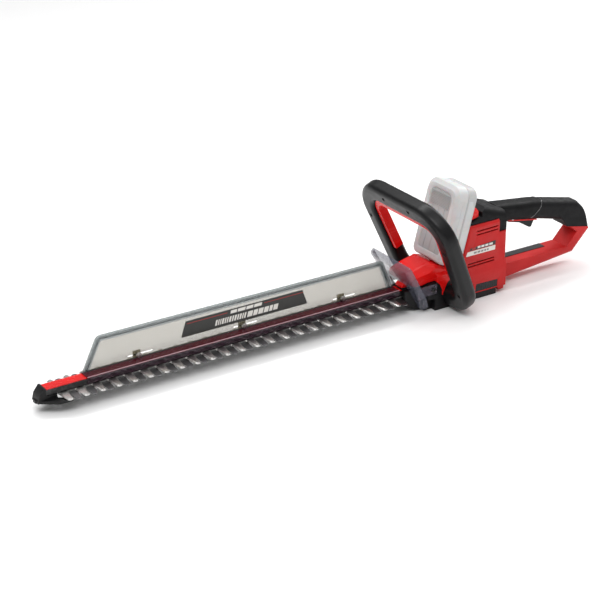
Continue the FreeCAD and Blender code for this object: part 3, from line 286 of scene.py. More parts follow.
def rounded_outline(corners, radii, steps=6):
    """A polygon whose corners are arcs, as a list of points."""
    points = []
    count = len(corners)
    for index, corner in enumerate(corners):
        here = Vector(corner)
        before = (Vector(corners[index - 1]) - here)
        after = (Vector(corners[(index + 1) % count]) - here)
        radius = radii[index] if isinstance(radii, (list, tuple)) else radii
        opening = before.angle(after)
        if radius < 0.01 or opening > math.pi - 0.01:
            points.append(here)
            continue
        reach = min(radius / math.tan(opening / 2), 0.49 * before.length, 0.49 * after.length)
        radius = reach * math.tan(opening / 2)
        halfway = (before.normalized() + after.normalized()).normalized()
        middle = here + halfway * (radius / math.sin(opening / 2))
        start = here + before.normalized() * reach - middle
        end = here + after.normalized() * reach - middle
        sweep = start.angle_signed(end)
        for step in range(steps + 1):
            turn = Matrix.Rotation(-sweep * step / steps, 2)
            points.append(middle + turn @ start)
    return points


def upright(along, up, side):
    """A point of an outline seen from the side; the third number is its place across the tool."""
    return at(along, side, up)


def level(along, side, up):
    """A point of an outline seen from above."""
    return at(along, side, up)


def crosswise(side, up, along):
    """A point of an outline seen along the tool."""
    return at(along, side, up)


def tilted(foot, angle):
    """Points of a plate that leans to the front: across, up the plate, and depth to the rear."""
    lean = math.radians(angle)

    def spot(across, up, depth):
        return at(foot - math.sin(lean) * up + math.cos(lean) * depth, across,
                  math.cos(lean) * up + math.sin(lean) * depth)
    return spot


GUARD = tilted(637, 30)
BATTERY_FOOT = 684       # where the plane of the battery's rear face crosses z = 0
BATTERY_LEAN = 15        # degrees


def battery_spot(across, up, depth):
    """Points of the battery, which leans to the rear; the depth grows to the rear."""
    lean = math.radians(BATTERY_LEAN)
    return at(BATTERY_FOOT + math.cos(lean) * depth + math.sin(lean) * up, across,
              math.cos(lean) * up - math.sin(lean) * depth)


def prism(name, outline, low, high, spot=upright):
    """A closed prism: the outline is in mm, and it runs from low to high across its plane."""
    return loft(name, [[spot(*point, low) for point in outline], [spot(*point, high) for point in outline]])


def loft(name, rings, ring_shaped=False):
    """Joins rings of as many points each; the ends are capped, or the last ring meets the first."""
    shape = bmesh.new()
    levels = [[shape.verts.new(point) for point in ring] for ring in rings]
    if ring_shaped:
        levels.append(levels[0])
    else:
        shape.faces.new(levels[0])
        shape.faces.new(levels[-1])
    count = len(rings[0])
    for lower, upper in zip(levels, levels[1:]):
        for index in range(count):
            after = (index + 1) % count
            shape.faces.new((lower[index], lower[after], upper[after], upper[index]))
    return from_bmesh(name, shape)


def join(name, pieces):
    """Several meshes as one object."""
    shape = bmesh.new()
    for piece in pieces:
        shape.from_mesh(piece.data)
        bpy.data.objects.remove(piece)
    mesh = bpy.data.meshes.new(name)
    shape.to_mesh(mesh)
    shape.free()
    return add_object(name, mesh)


def inset(corners, amounts):
    """Moves each side of a polygon inward by its own amount; side i runs from corner i to the next."""
    area = sum(first[0] * second[1] - second[0] * first[1]
               for first, second in zip(corners, corners[1:] + corners[:1]))
    turn = 1.0 if area > 0 else -1.0
    lines = []
    for index, corner in enumerate(corners):
        start = Vector(corner)
        along = (Vector(corners[(index + 1) % len(corners)]) - start).normalized()
        lines.append((start + Vector((-along.y, along.x)) * turn * amounts[index], along))
    moved = []
    for index, (start, along) in enumerate(lines):
        other, direction = lines[index - 1]
        gap = start - other
        reach = (gap.x * along.y - gap.y * along.x) / (direction.x * along.y - direction.y * along.x)
        moved.append(tuple(other + direction * reach))
    return moved


def copy_of(node, name):
    """The CAD node's mesh as a new object: closed, with its flat faces in few convex parts."""
    shape = bmesh.new()
    shape.from_mesh(frame["nodes"][node].data)
    bmesh.ops.remove_doubles(shape, verts=shape.verts, dist=1e-6)
    bmesh.ops.dissolve_limit(shape, angle_limit=math.radians(0.4), verts=shape.verts, edges=shape.edges)
    bmesh.ops.connect_verts_concave(shape, faces=shape.faces)
    return from_bmesh(name, shape)


def apply_modifiers(piece):
    shown = piece.evaluated_get(bpy.context.evaluated_depsgraph_get())
    mesh = bpy.data.meshes.new_from_object(shown)
    piece.modifiers.clear()
    piece.data = mesh


def combine(piece, tools, operation):
    """Boolean of the piece with each tool, which is then deleted."""
    for tool in tools:
        step = piece.modifiers.new("combine", "BOOLEAN")
        step.operation = operation
        step.solver = "EXACT"
        step.object = tool
        apply_modifiers(piece)
        bpy.data.objects.remove(tool)
    return piece


def soften(piece, width, segments=3, angle=32.0):
    """Rounds sharp edges by a width in mm and shades the result smooth."""
    step = piece.modifiers.new("rounded edges", "BEVEL")
    step.width = width * MM
    step.segments = segments
    step.limit_method = "ANGLE"
    step.angle_limit = math.radians(angle)
    step.miter_outer = "MITER_ARC"
    step.harden_normals = True
    step.use_clamp_overlap = True
    smooth(piece)
    return piece


def smooth(piece, angle=35.0):
    """Smooth shading, with edges sharper than the angle kept sharp."""
    for face in piece.data.polygons:
        face.use_smooth = True
    sharp = bmesh.new()
    sharp.from_mesh(piece.data)
    for edge in sharp.edges:
        edge.smooth = len(edge.link_faces) == 2 and edge.calc_face_angle(0) < math.radians(angle)
    sharp.to_mesh(piece.data)
    sharp.free()
    return piece


def place_piece(piece, body, slot, look, *nodes):
    """Gives a piece its body and material by name, and hides the CAD nodes that it stands for; the slot
    argument is not used.
    """
    piece.data.materials.clear()
    piece.data.materials.append(MATERIALS[look])
    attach(piece, body)
    if nodes:
        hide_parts(*nodes)
    return piece


# ---------------------------------------------------------------- finishes

MATERIALS = {
    "black_plastic": moulded("black plastic", (0.0050, 0.0050, 0.0056), 0.36, wear=0.05),
    "soft_black": soft_touch("soft black", (0.0042, 0.0042, 0.0048)),
    "red_plastic": moulded("red plastic", (0.52, 0.012, 0.012), 0.44, wear=0.06),
    "bright_red_plastic": moulded("bright red plastic", (0.74, 0.004, 0.003), 0.26, coat=0.10, wear=0.06),
    "blade_steel": ground_steel("blade steel", (0.74, 0.73, 0.71), 0.30),
    # The lower blade's steel is the blade steel made darker: painted shade, for the lower blade lying under
    # the upper one.
    "blade_steel_painted_shade": ground_steel("lower blade steel, painted shade", (0.21, 0.21, 0.215), 0.36, stains=0.4),
    "rail_metal": coated_metal("rail coat", (0.010, 0.010, 0.011), 0.34, chips=0.10),
    "rail_red": coated_metal("rail red", (0.66, 0.003, 0.003), 0.26, peel_mm=9.0, chips=0.0),
    "clear_grey": clear_plastic("clear grey", (0.30, 0.27, 0.185), 0.14, 0.46),
    "clear_rim": clear_plastic("clear rim", (0.20, 0.24, 0.24), 0.10, 0.62),
    "clear_dark": clear_plastic("clear flange", (0.040, 0.016, 0.028), 0.10, 0.50),
    "polished_black": moulded("polished black", (0.030, 0.030, 0.031), 0.14, coat=0.8, wear=0.0),
    # The rim's step band is the rim's clear plastic made much darker: painted shade in the groove.
    "clear_step_painted_shade": clear_plastic("clear step, painted shade", (0.030, 0.045, 0.048), 0.08, 0.66),
    # A pale pink tint for the bead on the collector's fold: a painted highlight of light caught on the
    # folded edge.
    "clear_fold_painted_highlight": clear_plastic("clear fold, painted highlight", (0.72, 0.42, 0.46), 0.10, 0.62),
    "clear_smoke": clear_plastic("clear smoke", (0.105, 0.110, 0.150), 0.10, 0.50),
    "clear_tab": clear_plastic("clear tab", (0.15, 0.13, 0.165), 0.10, 0.50),
    "battery_grey": moulded("battery grey", (0.50, 0.505, 0.505), 0.32, wear=0.0, subsurface=0.3),
    "battery_light": moulded("battery light grey", (0.62, 0.625, 0.625), 0.30, wear=0.0, subsurface=0.3),
    "battery_panel": moulded("battery panel grey", (0.44, 0.445, 0.445), 0.38, wear=0.0, subsurface=0.2),
    "steel": ground_steel("steel", (0.60, 0.59, 0.57), 0.3, (1, 1, 1)),
    "dark_steel": coated_metal("black oxide", (0.02, 0.02, 0.021), 0.35),
    "gear_steel": ground_steel("gear steel", (0.42, 0.41, 0.40), 0.35, (1, 1, 1)),
    "aluminium": ground_steel("aluminium", (0.70, 0.70, 0.71), 0.5, (1, 1, 1)),
    "motor_steel": ground_steel("motor steel", (0.5, 0.5, 0.52), 0.3, (1, 1, 1)),
    "magnet": moulded("ferrite", (0.05, 0.05, 0.05), 0.6),
    "badge_dark": printed_film("badge dark", (0.012, 0.012, 0.010)),
    "badge_light": printed_film("badge light", (0.66, 0.64, 0.60)),
    "badge_red": printed_film("badge red", (0.30, 0.012, 0.010)),
    "badge_ink": printed_film("badge ink", (0.20, 0.19, 0.18)),
    "panel_grey": moulded("panel grey", (0.030, 0.031, 0.033), 0.5, wear=0.1),
    "cell_blue": moulded("cell sleeve", (0.05, 0.16, 0.30), 0.35),
    "board_green": moulded("board", (0.02, 0.12, 0.05), 0.4),
    "brass": ground_steel("brass", (0.75, 0.58, 0.28), 0.3, (1, 1, 1)),
    "spring_steel": ground_steel("spring wire", (0.6, 0.6, 0.6), 0.25, (1, 1, 1)),
}


def slot_of(node):
    return next(part["material_slot"] for part in frame["record"]["subparts"] if part["node"] == node)


for node, thing in frame["nodes"].items():
    thing.data.materials.clear()
    thing.data.materials.append(MATERIALS[slot_of(node)])


# ---------------------------------------------------------------- rail strip and blades

def red_strip():
    """The red strip on the rail has a raised lip along each side."""
    half = [(0.0, 34.5), (7.2, 34.5), (7.7, 35.0), (8.7, 35.0), (8.7, 33.5)]
    strip = prism("rail_strip_formed", mirrored(half)[:-1], 15.5, 612.0, crosswise)
    place_piece(soften(strip, 0.25, 2), "housing", "rail_red", "rail_red", "rail_strip")


BLADE_THICKNESS = 2.2
HALF_STROKE = 6.25       # each blade moves this far to both sides of the middle of its slots
GEAR_AXIS = 706.0
FIRST_TOOTH, TOOTH_PITCH, TEETH = 46.25, 25.0, 23
FIRST_SLOT, SLOT_PITCH, SLOTS = 65.0, 128.0, 5


def ground_tooth(name, middle, floor, top_bevel):
    """A tooth pair: flat on the side of the other blade, ground to an edge on the other side."""
    base, nip, reach, root, tip = 9.5, 2.0, 34.5, 7.5, 4.25
    half = [(root, base), (tip, reach - nip), (tip - nip, reach)]
    outline = mirrored(half) + mirrored([(-across, -side) for across, side in half])
    ground = []
    for across, side in outline:
        widening = 1.2 if across > 0 else -1.2
        ground.append((across * 0.55 + widening * (abs(side) < 20), side * 0.965))
    top = floor + BLADE_THICKNESS
    flat, edge, land = (floor, floor + 0.7, top) if top_bevel else (top, floor + 1.5, floor)
    rings = [[level(middle + across, side, flat) for across, side in outline],
             [level(middle + across, side, edge) for across, side in outline],
             [level(middle + across, side, land) for across, side in ground]]
    return loft(name, rings)


def cutter_blade(name, floor, offset, top_bevel):
    """Bar with slots, yoke round its eccentric, and a row of ground tooth pairs."""
    shoulder = GEAR_AXIS + offset - 27.0
    front, rear = 33.5 + offset + HALF_STROKE, shoulder + 2
    top = floor + BLADE_THICKNESS
    bar = prism(f"{name}_bar", rectangle(front, rear, -10.5, 10.5), floor, top, level)
    slots = []
    for number in range(SLOTS):
        middle = FIRST_SLOT + SLOT_PITCH * number + offset
        outline = rounded_outline(rectangle(middle - 10.8, middle + 10.8, -4.15, 4.15), 4.1)
        slots.append(prism("slot", outline, floor - 1, top + 1, level))
    combine(bar, slots, "DIFFERENCE")
    yoke_outline = rounded_outline(rectangle(shoulder, shoulder + 54, -20, 20), 8)
    yoke = prism(f"{name}_yoke", yoke_outline, floor, top, level)
    window_outline = rounded_outline(rectangle(shoulder + 5.5, shoulder + 48.5, -15, 15), 5)
    window = prism("window", window_outline, floor - 1, top + 1, level)
    combine(yoke, [window], "DIFFERENCE")
    teeth = []
    for number in range(TEETH):
        middle = FIRST_TOOTH + offset + TOOTH_PITCH * number
        teeth.append(ground_tooth(f"{name}_tooth_{number}", middle, floor, top_bevel))
    return join(name, [bar, yoke] + teeth)


def blades():
    upper = smooth(cutter_blade("upper_blade_ground", 22.7, -HALF_STROKE, True), 12.0)
    lower = smooth(cutter_blade("lower_blade_ground", 20.1, HALF_STROKE, False), 12.0)
    place_piece(upper, "upper_blade_body", "blade_steel", "blade_steel", "upper_blade")
    # The lower blade takes the darker steel, which is painted shade, not a different metal.
    place_piece(lower, "lower_blade_body", "blade_steel", "blade_steel_painted_shade", "lower_blade")


# ---------------------------------------------------------------- cuttings collector

COLLECTOR = [(79.0, 35.25), (606.0, 35.25), (587.0, 83.0), (103.0, 85.0)]
COLLECTOR_RADII = [1.0, 1.0, 7.0, 10.0]


def collector_ring(amount, side):
    """The panel's outline, moved inward, at a place across the tool."""
    corners = inset(COLLECTOR, [0.12 * amount, amount, amount, amount])
    radii = [max(0.6, radius - 0.6 * amount) for radius in COLLECTOR_RADII]
    return [upright(along, up, side) for along, up in rounded_outline(corners, radii, 8)]


def collector():
    """Hazy panel in a stepped rim whose step band is darkened as painted shade, a flange over the rail, a
    dark skirt and a pale bead on the fold as a painted highlight.
    """
    panel = loft("collector_panel", [collector_ring(9.0, 7.6), collector_ring(9.0, 9.6)])
    slots = []
    for number in range(3):
        middle = 166.0 + 173.5 * number
        outline = rounded_outline(rectangle(middle - 16.4, middle + 24.4, 39.2, 42.0), 1.38)
        slots.append(prism("slot", outline, 5.0, 12.0))
    combine(panel, slots, "DIFFERENCE")
    place_piece(panel, "collector", "clear_grey", "clear_grey", "cuttings_collector")
    outer = [(0.0, 7.4), (0.7, 6.6), (3.2, 6.6), (3.6, 7.0), (3.6, 10.4), (0.7, 10.6), (0.0, 9.8)]
    step = [(3.6, 7.0), (4.0, 7.7), (5.7, 7.7), (6.1, 7.1), (6.1, 10.3), (3.6, 10.4)]
    inner = [(6.1, 7.1), (6.5, 6.7), (8.0, 6.7), (9.0, 7.6), (9.0, 9.6), (6.1, 10.3)]
    # The step band takes the darker tint: painted shade in the groove between the outer and inner bands.
    for name, look, steps in (("outer", "clear_rim", outer), ("step", "clear_step_painted_shade", step),
                              ("inner", "clear_rim", inner)):
        band = loft(f"collector_rim_{name}", [collector_ring(amount, side) for amount, side in steps], True)
        smooth(band, 28.0)
        place_piece(band, "collector", "clear_grey", look)
    angle = [(-11.0, 26.0), (-9.4, 26.0), (-9.4, 35.25), (8.4, 35.25), (8.4, 36.5), (-11.0, 36.5)]
    flange_outline = rounded_outline(angle, [0.5, 0.3, 0.6, 0.3, 0.3, 1.3], 5)
    flange = prism("collector_flange", flange_outline, 77.0, 606.0, crosswise)
    smooth(flange, 30.0)
    place_piece(flange, "collector", "clear_grey", "clear_dark")
    # The pale pink bead stands for the light caught along the fold: a painted highlight.
    bead = [(-10.9, 35.6), (-10.2, 35.4), (-9.8, 36.0), (-9.9, 36.6), (-10.5, 36.9), (-11.0, 36.3)]
    fold = loft("collector_fold_highlight_bead", [[crosswise(side, up, along) for side, up in bead]
                                        for along in (77.0, 606.0)])
    smooth(fold, 70.0)
    place_piece(fold, "collector", "clear_grey", "clear_fold_painted_highlight")


INK_THICKNESS = 0.08


def printed_bars(name, rows, side, body, slot, look, seed):
    """Rows of plain bars that stand in for print: (left, right, low, high, lean, smallest, largest)."""
    draw = random.Random(seed)
    bars = []
    for left, right, low, high, lean, small, large in rows:
        along = left
        while along < right - small:
            width = min(draw.uniform(small, large), right - along)
            end = along + width
            outline = [(along, low), (end, low), (end + lean, high), (along + lean, high)]
            bars.append(prism("bar", outline, side - INK_THICKNESS, side))
            along += width + 1.6
    place_piece(join(name, bars), body, slot, look)


def collector_badge():
    """Dark plate with a thin red line and plain light bars."""
    plate_outline = rounded_outline([(236, 47), (451, 47), (442, 71), (244, 71)], 1.2, 3)
    plate = prism("collector_badge_plate", plate_outline, 7.28, 7.6)
    place_piece(soften(plate, 0.12, 2), "collector", "badge_dark", "badge_dark", "collector_badge")
    lines = [prism("line", rectangle(left, right, 66.4, 67.3), 7.2, 7.28)
             for left, right in ((246.0, 313.0), (376.0, 443.0))]
    place_piece(join("collector_badge_lines", lines), "collector", "badge_dark", "badge_red")
    rows = [(318.0, 371.0, 64.2, 69.0, 1.2, 9.0, 16.0), (292.0, 344.0, 51.5, 60.0, 2.2, 1.6, 3.4),
            (346.0, 398.0, 51.5, 60.0, 2.2, 5.0, 9.0)]
    printed_bars("collector_badge_bars", rows, 7.28, "collector", "badge_light", "badge_light", 3)


# ---------------------------------------------------------------- hand guard

def hand_guard():
    """A clear dish that leans forward, its wall curling back all round, with a tab on each side."""
    corners = [(-34, 2), (-45, 26), (-48.5, 60), (-51, 97), (51, 97), (48.5, 60), (45, 26), (34, 2)]
    radii = [4, 20, 30, 7, 7, 30, 20, 4]
    thick, rim = 2.6, 10.0

    def ring(amount, depth):
        moved = inset(corners, [amount] * 7 + [0.2 * amount])
        smaller = [max(2.0, radius - 0.5 * amount) for radius in radii]
        return [GUARD(*point, depth) for point in rounded_outline(moved, smaller, 7)]

    front = [(0.9, rim), (0.0, rim - 0.7), (0.4, 6.2), (1.6, 3.4), (3.6, 1.5), (7.0, 0.4), (12.0, 0.0)]
    back = [(12.0, thick), (7.4, thick + 0.3), (4.8, thick + 1.4), (3.3, 5.0), (2.5, 7.0), (2.4, rim - 0.3),
            (1.9, rim)]
    dish = join_rings("hand_guard_dish", [ring(*step) for step in front], [ring(*step) for step in back])
    arch_outline = rounded_outline([(-24, -10), (-22, 57), (22, 57), (24, -10)], [1, 6, 6, 1])
    arch = prism("arch", arch_outline, -8.0, 30.0, GUARD)
    combine(dish, [arch], "DIFFERENCE")
    smooth(dish, 40.0)
    place_piece(dish, "housing", "clear_smoke", "clear_smoke", "hand_guard")
    tabs = []
    for side in (-1, 1):
        outline = [(617, side * 43.6), (619, side * 45.6), (634, side * 39.4), (656, side * 39.4),
                   (656, side * 37.3), (632, side * 37.3)]
        tabs.append(soften(prism("tab", outline, 29.0, 45.0, level), 0.8, 3))
        apply_modifiers(tabs[-1])
    place_piece(join("hand_guard_tabs", tabs), "housing", "clear_smoke", "clear_tab")


def join_rings(name, front, back):
    """A dish: the front rings and the back rings joined at both ends, capped in the middle."""
    shape = bmesh.new()
    levels = [[shape.verts.new(point) for point in ring] for ring in front + back]
    count = len(front[0])
    middle = len(front)
    for index in range(count):
        after = (index + 1) % count
        for number, (lower, upper) in enumerate(zip(levels, levels[1:]), start=1):
            if number != middle:
                shape.faces.new((lower[index], lower[after], upper[after], upper[index]))
        shape.faces.new((levels[-1][index], levels[-1][after], levels[0][after], levels[0][index]))
    shape.faces.new(levels[middle - 1])
    shape.faces.new(levels[middle])
    return from_bmesh(name, shape)


# ---------------------------------------------------------------- battery

def battery():
    """Grey pack with long chamfers, a sunk front panel with ribs and raised side panels."""
    corners = rectangle(-38.4, 38.4, 64, 187)
    radii = [9, 9, 17, 17]

    def ring(amount, depth, top=None):
        moved = inset(corners, [amount, amount, amount if top is None else top, amount])
        smaller = [max(2.0, radius - 0.4 * amount) for radius in radii]
        return [battery_spot(*point, depth) for point in rounded_outline(moved, smaller, 7)]

    rear_steps = ((2.2, -0.3), (0.6, -1.4), (0.0, -3.4), (0.0, -17.0), (0.7, -17.9))
    rear = loft("battery_rear_shell", [ring(*step) for step in rear_steps])
    grooves = [prism("groove", rectangle(side * 23.4, side * 27.6, 60, 125), -4.8, 1.0, battery_spot)
               for side in (-1, 1)]
    combine(rear, grooves, "DIFFERENCE")
    smooth(rear, 30.0)
    place_piece(rear, "battery", "battery_grey", "battery_grey", "battery_rear_case")
    front_steps = ((0.7, -18.1), (0.0, -19.0), (0.0, -34.0), (0.6, -36.2), (2.5, -38.6, 5.5),
                   (4.0, -39.8, 7.0), (5.5, -40.0, 8.5), (11.0, -40.0, 12.2), (12.2, -39.6, 13.4),
                   (13.0, -38.4, 14.2))
    front = loft("battery_front_shell", [ring(*step) for step in front_steps])
    smooth(front, 26.0)
    place_piece(front, "battery", "battery_grey", "battery_light", "battery_front_case")
    panel = prism("battery_front_panel", rectangle(-25.0, 25.0, 77, 172), -38.9, -38.0, battery_spot)
    place_piece(soften(panel, 0.8, 3), "battery", "battery_grey", "battery_panel")
    ribs = []
    for number in range(10):
        low = 148.0 + 2.2 * number
        ribs.append(prism("rib", rectangle(-22.0, 22.0, low, low + 1.1), -39.9, -38.8, battery_spot))
    for across in (-15.0, -0.7, 13.6):
        ribs.append(prism("rib", rectangle(across, across + 1.4, 79, 146), -39.5, -38.8, battery_spot))
    place_piece(join("battery_front_ribs", ribs), "battery", "battery_grey", "battery_panel")
    sides = []
    for side in (-1, 1):
        for outline in ([(-27, 76), (-21.5, 76), (-21.5, 150), (-25, 162), (-27, 162)],
                        [(-15.5, 72), (-4, 72), (-4, 158), (-8, 168), (-15.5, 168)]):
            pad = prism("pad", outline, side * 38.0, side * 39.0,
                        lambda depth, up, across: battery_spot(across, up, depth))
            sides.append(soften(pad, 0.7, 3))
            apply_modifiers(sides[-1])
    place_piece(join("battery_side_pads", sides), "battery", "battery_grey", "battery_light")


# ---------------------------------------------------------------- gearbox cover

def gearbox_cover():
    """Faceted red nose: upright sides, a creased shoulder and a narrow roof, with a strap down each side."""
    sections = [(613.5, 27, 50, 54, 17, 56), (616.5, 29.5, 46, 57, 19, 61), (622, 31, 44.6, 58, 20, 65),
                (633, 31, 44.6, 60, 21, 69), (645, 31, 46.7, 61.5, 21, 71.5), (652, 31, 46.7, 65, 22, 72),
                (658, 31, 46.7, 67, 25, 72), (668, 31, 46.7, 65, 26, 69), (686, 31, 46.7, 57, 26, 61)]
    rings = []
    for along, half, low, crease, roof, top in sections:
        profile = mirrored([(half, low), (half, crease), (roof, top)])
        rings.append([crosswise(side, up, along) for side, up in profile])
    nose = soften(loft("gearbox_cover_facets", rings), 1.0, 3, 14.0)
    place_piece(nose, "housing", "bright_red_plastic", "bright_red_plastic", "gearbox_cover")
    tongue_outline = [(612, 37.0), (624, 37.0), (624, 46), (618, 46), (612, 40.6)]
    tongue = prism("gearbox_cover_tongue", tongue_outline, -8, 8)
    place_piece(soften(tongue, 0.8), "housing", "bright_red_plastic", "bright_red_plastic")
    straps = []
    corners = [(657, 47), (663, 41), (667, 33), (667.5, 23), (672.5, 23), (673, 33), (677, 41), (683.5, 47),
               (683.5, 56), (657, 56)]
    outline = rounded_outline(corners, [1, 5, 3, 1.5, 1.5, 3, 5, 1, 1, 1], 4)
    for side in (-1, 1):
        straps.append(soften(prism("strap", outline, side * 35.6, side * 37.3), 0.7, 3))
        apply_modifiers(straps[-1])
        ends = []
        for along, crest in ((657, 60), (683.5, 58.5)):
            profile = ((56, 37.2), (47, 37.2), (47, 30.5), (crest, 30.5))
            ends.append([upright(along, up, side * across) for up, across in profile])
        shoulder = loft("strap_shoulder", ends)
        straps.append(soften(shoulder, 0.7, 3))
        apply_modifiers(straps[-1])
    place_piece(join("gearbox_cover_straps", straps), "housing", "bright_red_plastic", "bright_red_plastic")


# ---------------------------------------------------------------- housing, handles and small parts

def softened(node, body, width):
    """A copy of a CAD piece whose sharp edges are rounded as a mould leaves them."""
    piece = soften(copy_of(node, f"{node}_soft"), width)
    place_piece(piece, body, slot_of(node), slot_of(node), node)


def side_badges():
    """On each side: a dark plate with a small red square and bars, and a plain light plate."""
    dark = rounded_outline([(717.5, 83.6), (768, 84), (768.4, 91), (719.5, 87.5)], 0.8, 3)
    light = rounded_outline([(711, 75.5), (767.5, 75.5), (768, 83), (714, 82.5)], 0.8, 3)
    square_outline = [(722, 84.4), (729, 84.6), (729.4, 88.4), (722.6, 87.6)]
    white_row = (733, 764, 85.2, 88.6, 0.3, 3.0, 7.0)
    grey_row = (726, 756, 77.6, 80.6, 0.3, 3.0, 6.0)
    for side, word in ((-1, "near"), (1, "far")):
        face = side * 37.32
        low, high = sorted((side * 37.0, face))
        first = prism(f"dark_badge_{word}", dark, low, high)
        second = prism(f"light_badge_{word}", light, low, high)
        place_piece(soften(first, 0.1, 2), "housing", "badge_dark", "badge_dark", "dark_badges")
        place_piece(soften(second, 0.1, 2), "housing", "badge_light", "badge_light", "light_badges")
        low, high = sorted((face, face + side * INK_THICKNESS))
        square = prism(f"badge_square_{word}", square_outline, low, high)
        place_piece(square, "housing", "badge_dark", "badge_red")
        printed_bars(f"badge_bars_{word}", [white_row], high, "housing", "badge_light", "badge_light", 5)
        printed_bars(f"badge_grey_bars_{word}", [grey_row], high, "housing", "badge_dark", "badge_ink", 6)


def side_panels():
    """Grey panels with upright ribs."""
    for side, word in ((-1, "near"), (1, "far")):
        plate_outline = [(729.2, 13.8), (772.8, 13.8), (772.8, 25.6), (731.2, 26.6)]
        pieces = [prism("plate", plate_outline, *sorted((side * 39.2, side * 39.9)))]
        for number in range(9):
            left = 732.6 + 4.4 * number
            rib = [(left, 14.6), (left + 2.4, 14.6), (left + 2.4, 25.0), (left, 25.2)]
            pieces.append(prism("rib", rib, *sorted((side * 39.8, side * 40.4))))
        piece = soften(join(f"side_panel_{word}", pieces), 0.15, 2)
        place_piece(piece, "housing", "panel_grey", "panel_grey", "side_panels")


def grip_seam():
    """The raised edge where the grip's soft cover ends, as a bead round the back of the grip."""
    shell = frame["nodes"]["black_shell_near"]
    near = BVHTree.FromPolygons([vertex.co for vertex in shell.data.vertices],
                                [face.vertices for face in shell.data.polygons])
    spin = shell.matrix_world
    steps, away, radius = 18, 60.0 * MM, 0.8
    line = []
    for step in range(steps + 1):
        turn = math.radians(2.0 + 6.4 * step)
        along = 881.0 - 26.0 * (step / steps) ** 2
        outward = Vector((0.0, -math.sin(turn), math.cos(turn)))
        start = spin.inverted() @ (at(along, -0.2, 108.0) + away * outward)
        spot, *_ = near.ray_cast(start, spin.inverted().to_3x3() @ -outward)
        if spot:
            line.append(spin @ spot)
    mirror_line = [Vector((x, -y, z)) for x, y, z in line]
    pieces = [bead("seam", line, radius), bead("seam", mirror_line, radius)]
    place_piece(join("grip_seam_beads", pieces), "housing", "black_plastic", "polished_black")


def bead(name, line, radius):
    """A thin round bead along a line of points, with its radius in mm."""
    curve = bpy.data.curves.new(name, "CURVE")
    curve.dimensions = "3D"
    spline = curve.splines.new("POLY")
    spline.points.add(len(line) - 1)
    for point, place in zip(spline.points, line):
        point.co = (*place, 1.0)
    curve.bevel_depth = radius * MM
    curve.bevel_resolution = 3
    curve.use_fill_caps = True
    thing = add_object(name, curve)
    mesh = bpy.data.meshes.new_from_object(thing)
    bpy.data.objects.remove(thing)
    return add_object(name, mesh)


def trigger_spring():
    """The trigger's spring: the CAD's coil, shaded smooth, with a mesh of its own; nothing here shortens it
    as the trigger is pulled.
    """
    coil = smooth(copy_of("trigger_spring", "trigger_spring_coil"), 50.0)
    place_piece(coil, "housing", slot_of("trigger_spring"), "spring_steel", "trigger_spring")
    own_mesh(coil)


def pressings():
    """Pieces whose shape is the CAD's own, with softened edges."""
    for node, body, width in (
            ("tip_protector", "housing", 1.0), ("guide_rail", "housing", 0.4),
            ("base_housing", "housing", 0.7), ("loop_front_shell", "housing", 0.35),
            ("loop_rear_shell", "housing", 0.35),
            ("front_switch_bar", "switch_bar", 1.3), ("red_shell_near", "housing", 0.7),
            ("red_shell_far", "housing", 0.7), ("black_shell_near", "housing", 0.6),
            ("black_shell_far", "housing", 0.6), ("battery_bay", "housing", 0.4),
            ("battery_release", "release_button", 0.5), ("rear_trigger", "trigger", 0.5),
            ("trigger_bezel", "housing", 0.4), ("bar_inlay", "housing", 0.25)):
        softened(node, body, width)


red_strip()
blades()
collector()
collector_badge()
hand_guard()
battery()
gearbox_cover()
side_badges()
side_panels()
pressings()
trigger_spring()
grip_seam()


# ---------------------------------------------------------------- floor, light and camera

def floor():
    """A pale floor, far larger than the view."""
    shape = bmesh.new()
    bmesh.ops.create_grid(shape, x_segments=8, y_segments=8, size=9.0)
    piece = from_bmesh("floor", shape)
    piece.location.z = -0.0004
    material, tree, shader = node_tree("studio floor")
    clouds = noise_field(tree, object_coordinates(tree), 900.0, 2.0)
    tree.links.new(ramp(tree, clouds, ((0.3, (0.90, 0.90, 0.90)), (0.7, (0.93, 0.93, 0.93)))),
                   shader.inputs["Base Color"])
    shader.inputs["Roughness"].default_value = 0.9
    shader.inputs["Specular IOR Level"].default_value = 0.1
    piece.data.materials.append(material)


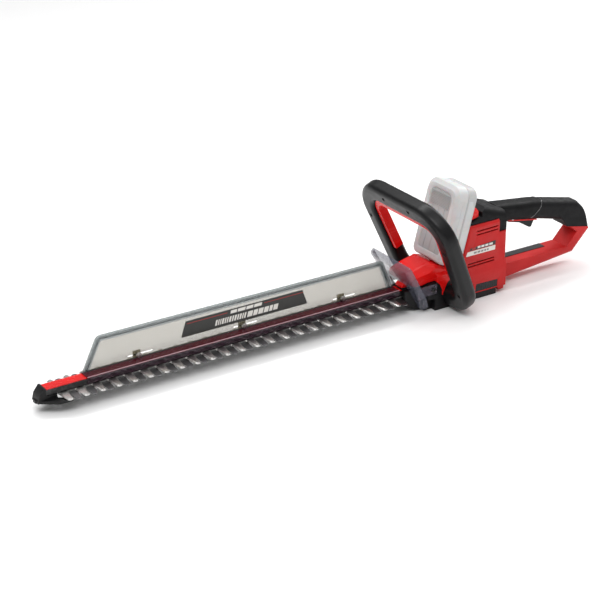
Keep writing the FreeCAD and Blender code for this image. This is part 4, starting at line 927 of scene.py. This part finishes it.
def area_light(name, place, aim, width, height, power, colour=(1.0, 1.0, 1.0)):
    light = bpy.data.lights.new(name, "AREA")
    light.shape = "RECTANGLE"
    light.size = width
    light.size_y = height
    light.energy = power
    light.color = colour
    thing = bpy.data.objects.new(name, light)
    thing.location = place
    thing.rotation_mode = "QUATERNION"
    thing.rotation_quaternion = (Vector(aim) - Vector(place)).to_track_quat("-Z", "Y")
    bpy.context.scene.collection.objects.link(thing)


def studio():
    """A pale tent: dim near the horizon, bright overhead, with large soft lamps."""
    world = bpy.data.worlds.new("studio")
    world.use_nodes = True
    tree = world.node_tree
    sky = tree.nodes["Background"]
    place = tree.nodes.new("ShaderNodeTexCoord")
    parts = tree.nodes.new("ShaderNodeSeparateXYZ")
    tree.links.new(place.outputs["Generated"], parts.inputs["Vector"])
    tree.links.new(ramp(tree, parts.outputs["Z"], ((0.0, 0.50), (0.10, 0.22), (0.45, 0.26), (0.75, 0.95))),
                   sky.inputs["Color"])
    sky.inputs["Strength"].default_value = 1.0
    bpy.context.scene.world = world
    area_light("key", (-0.9, -1.3, 2.3), (0.1, 0, 0.05), 1.6, 1.0, 31.0)
    area_light("top_strip", (0.3, 0.9, 1.7), (0.2, 0, 0.08), 2.4, 0.35, 22.0)
    area_light("rear", (1.9, 0.6, 1.1), (0.3, 0, 0.08), 0.7, 1.2, 11.0)
    bpy.context.scene.view_settings.view_transform = "Standard"


def camera():
    """Looks at the tool from the tip's near side, a little above it."""
    lens = bpy.data.cameras.new("camera")
    lens.sensor_width = 36.0
    lens.lens = 111.0
    lens.clip_end = 50.0
    thing = bpy.data.objects.new("camera", lens)
    right = Vector((0.8359, -0.5489, 0.0))
    up = Vector((0.22915, 0.34897, 0.90868))
    back = right.cross(up)
    turn = Matrix((right, up, back)).transposed().to_4x4()
    place = Matrix.Translation((-1.411, -2.062, 1.193))
    thing.matrix_world = place @ turn
    bpy.context.scene.collection.objects.link(thing)
    bpy.context.scene.camera = thing


floor()
studio()
camera()
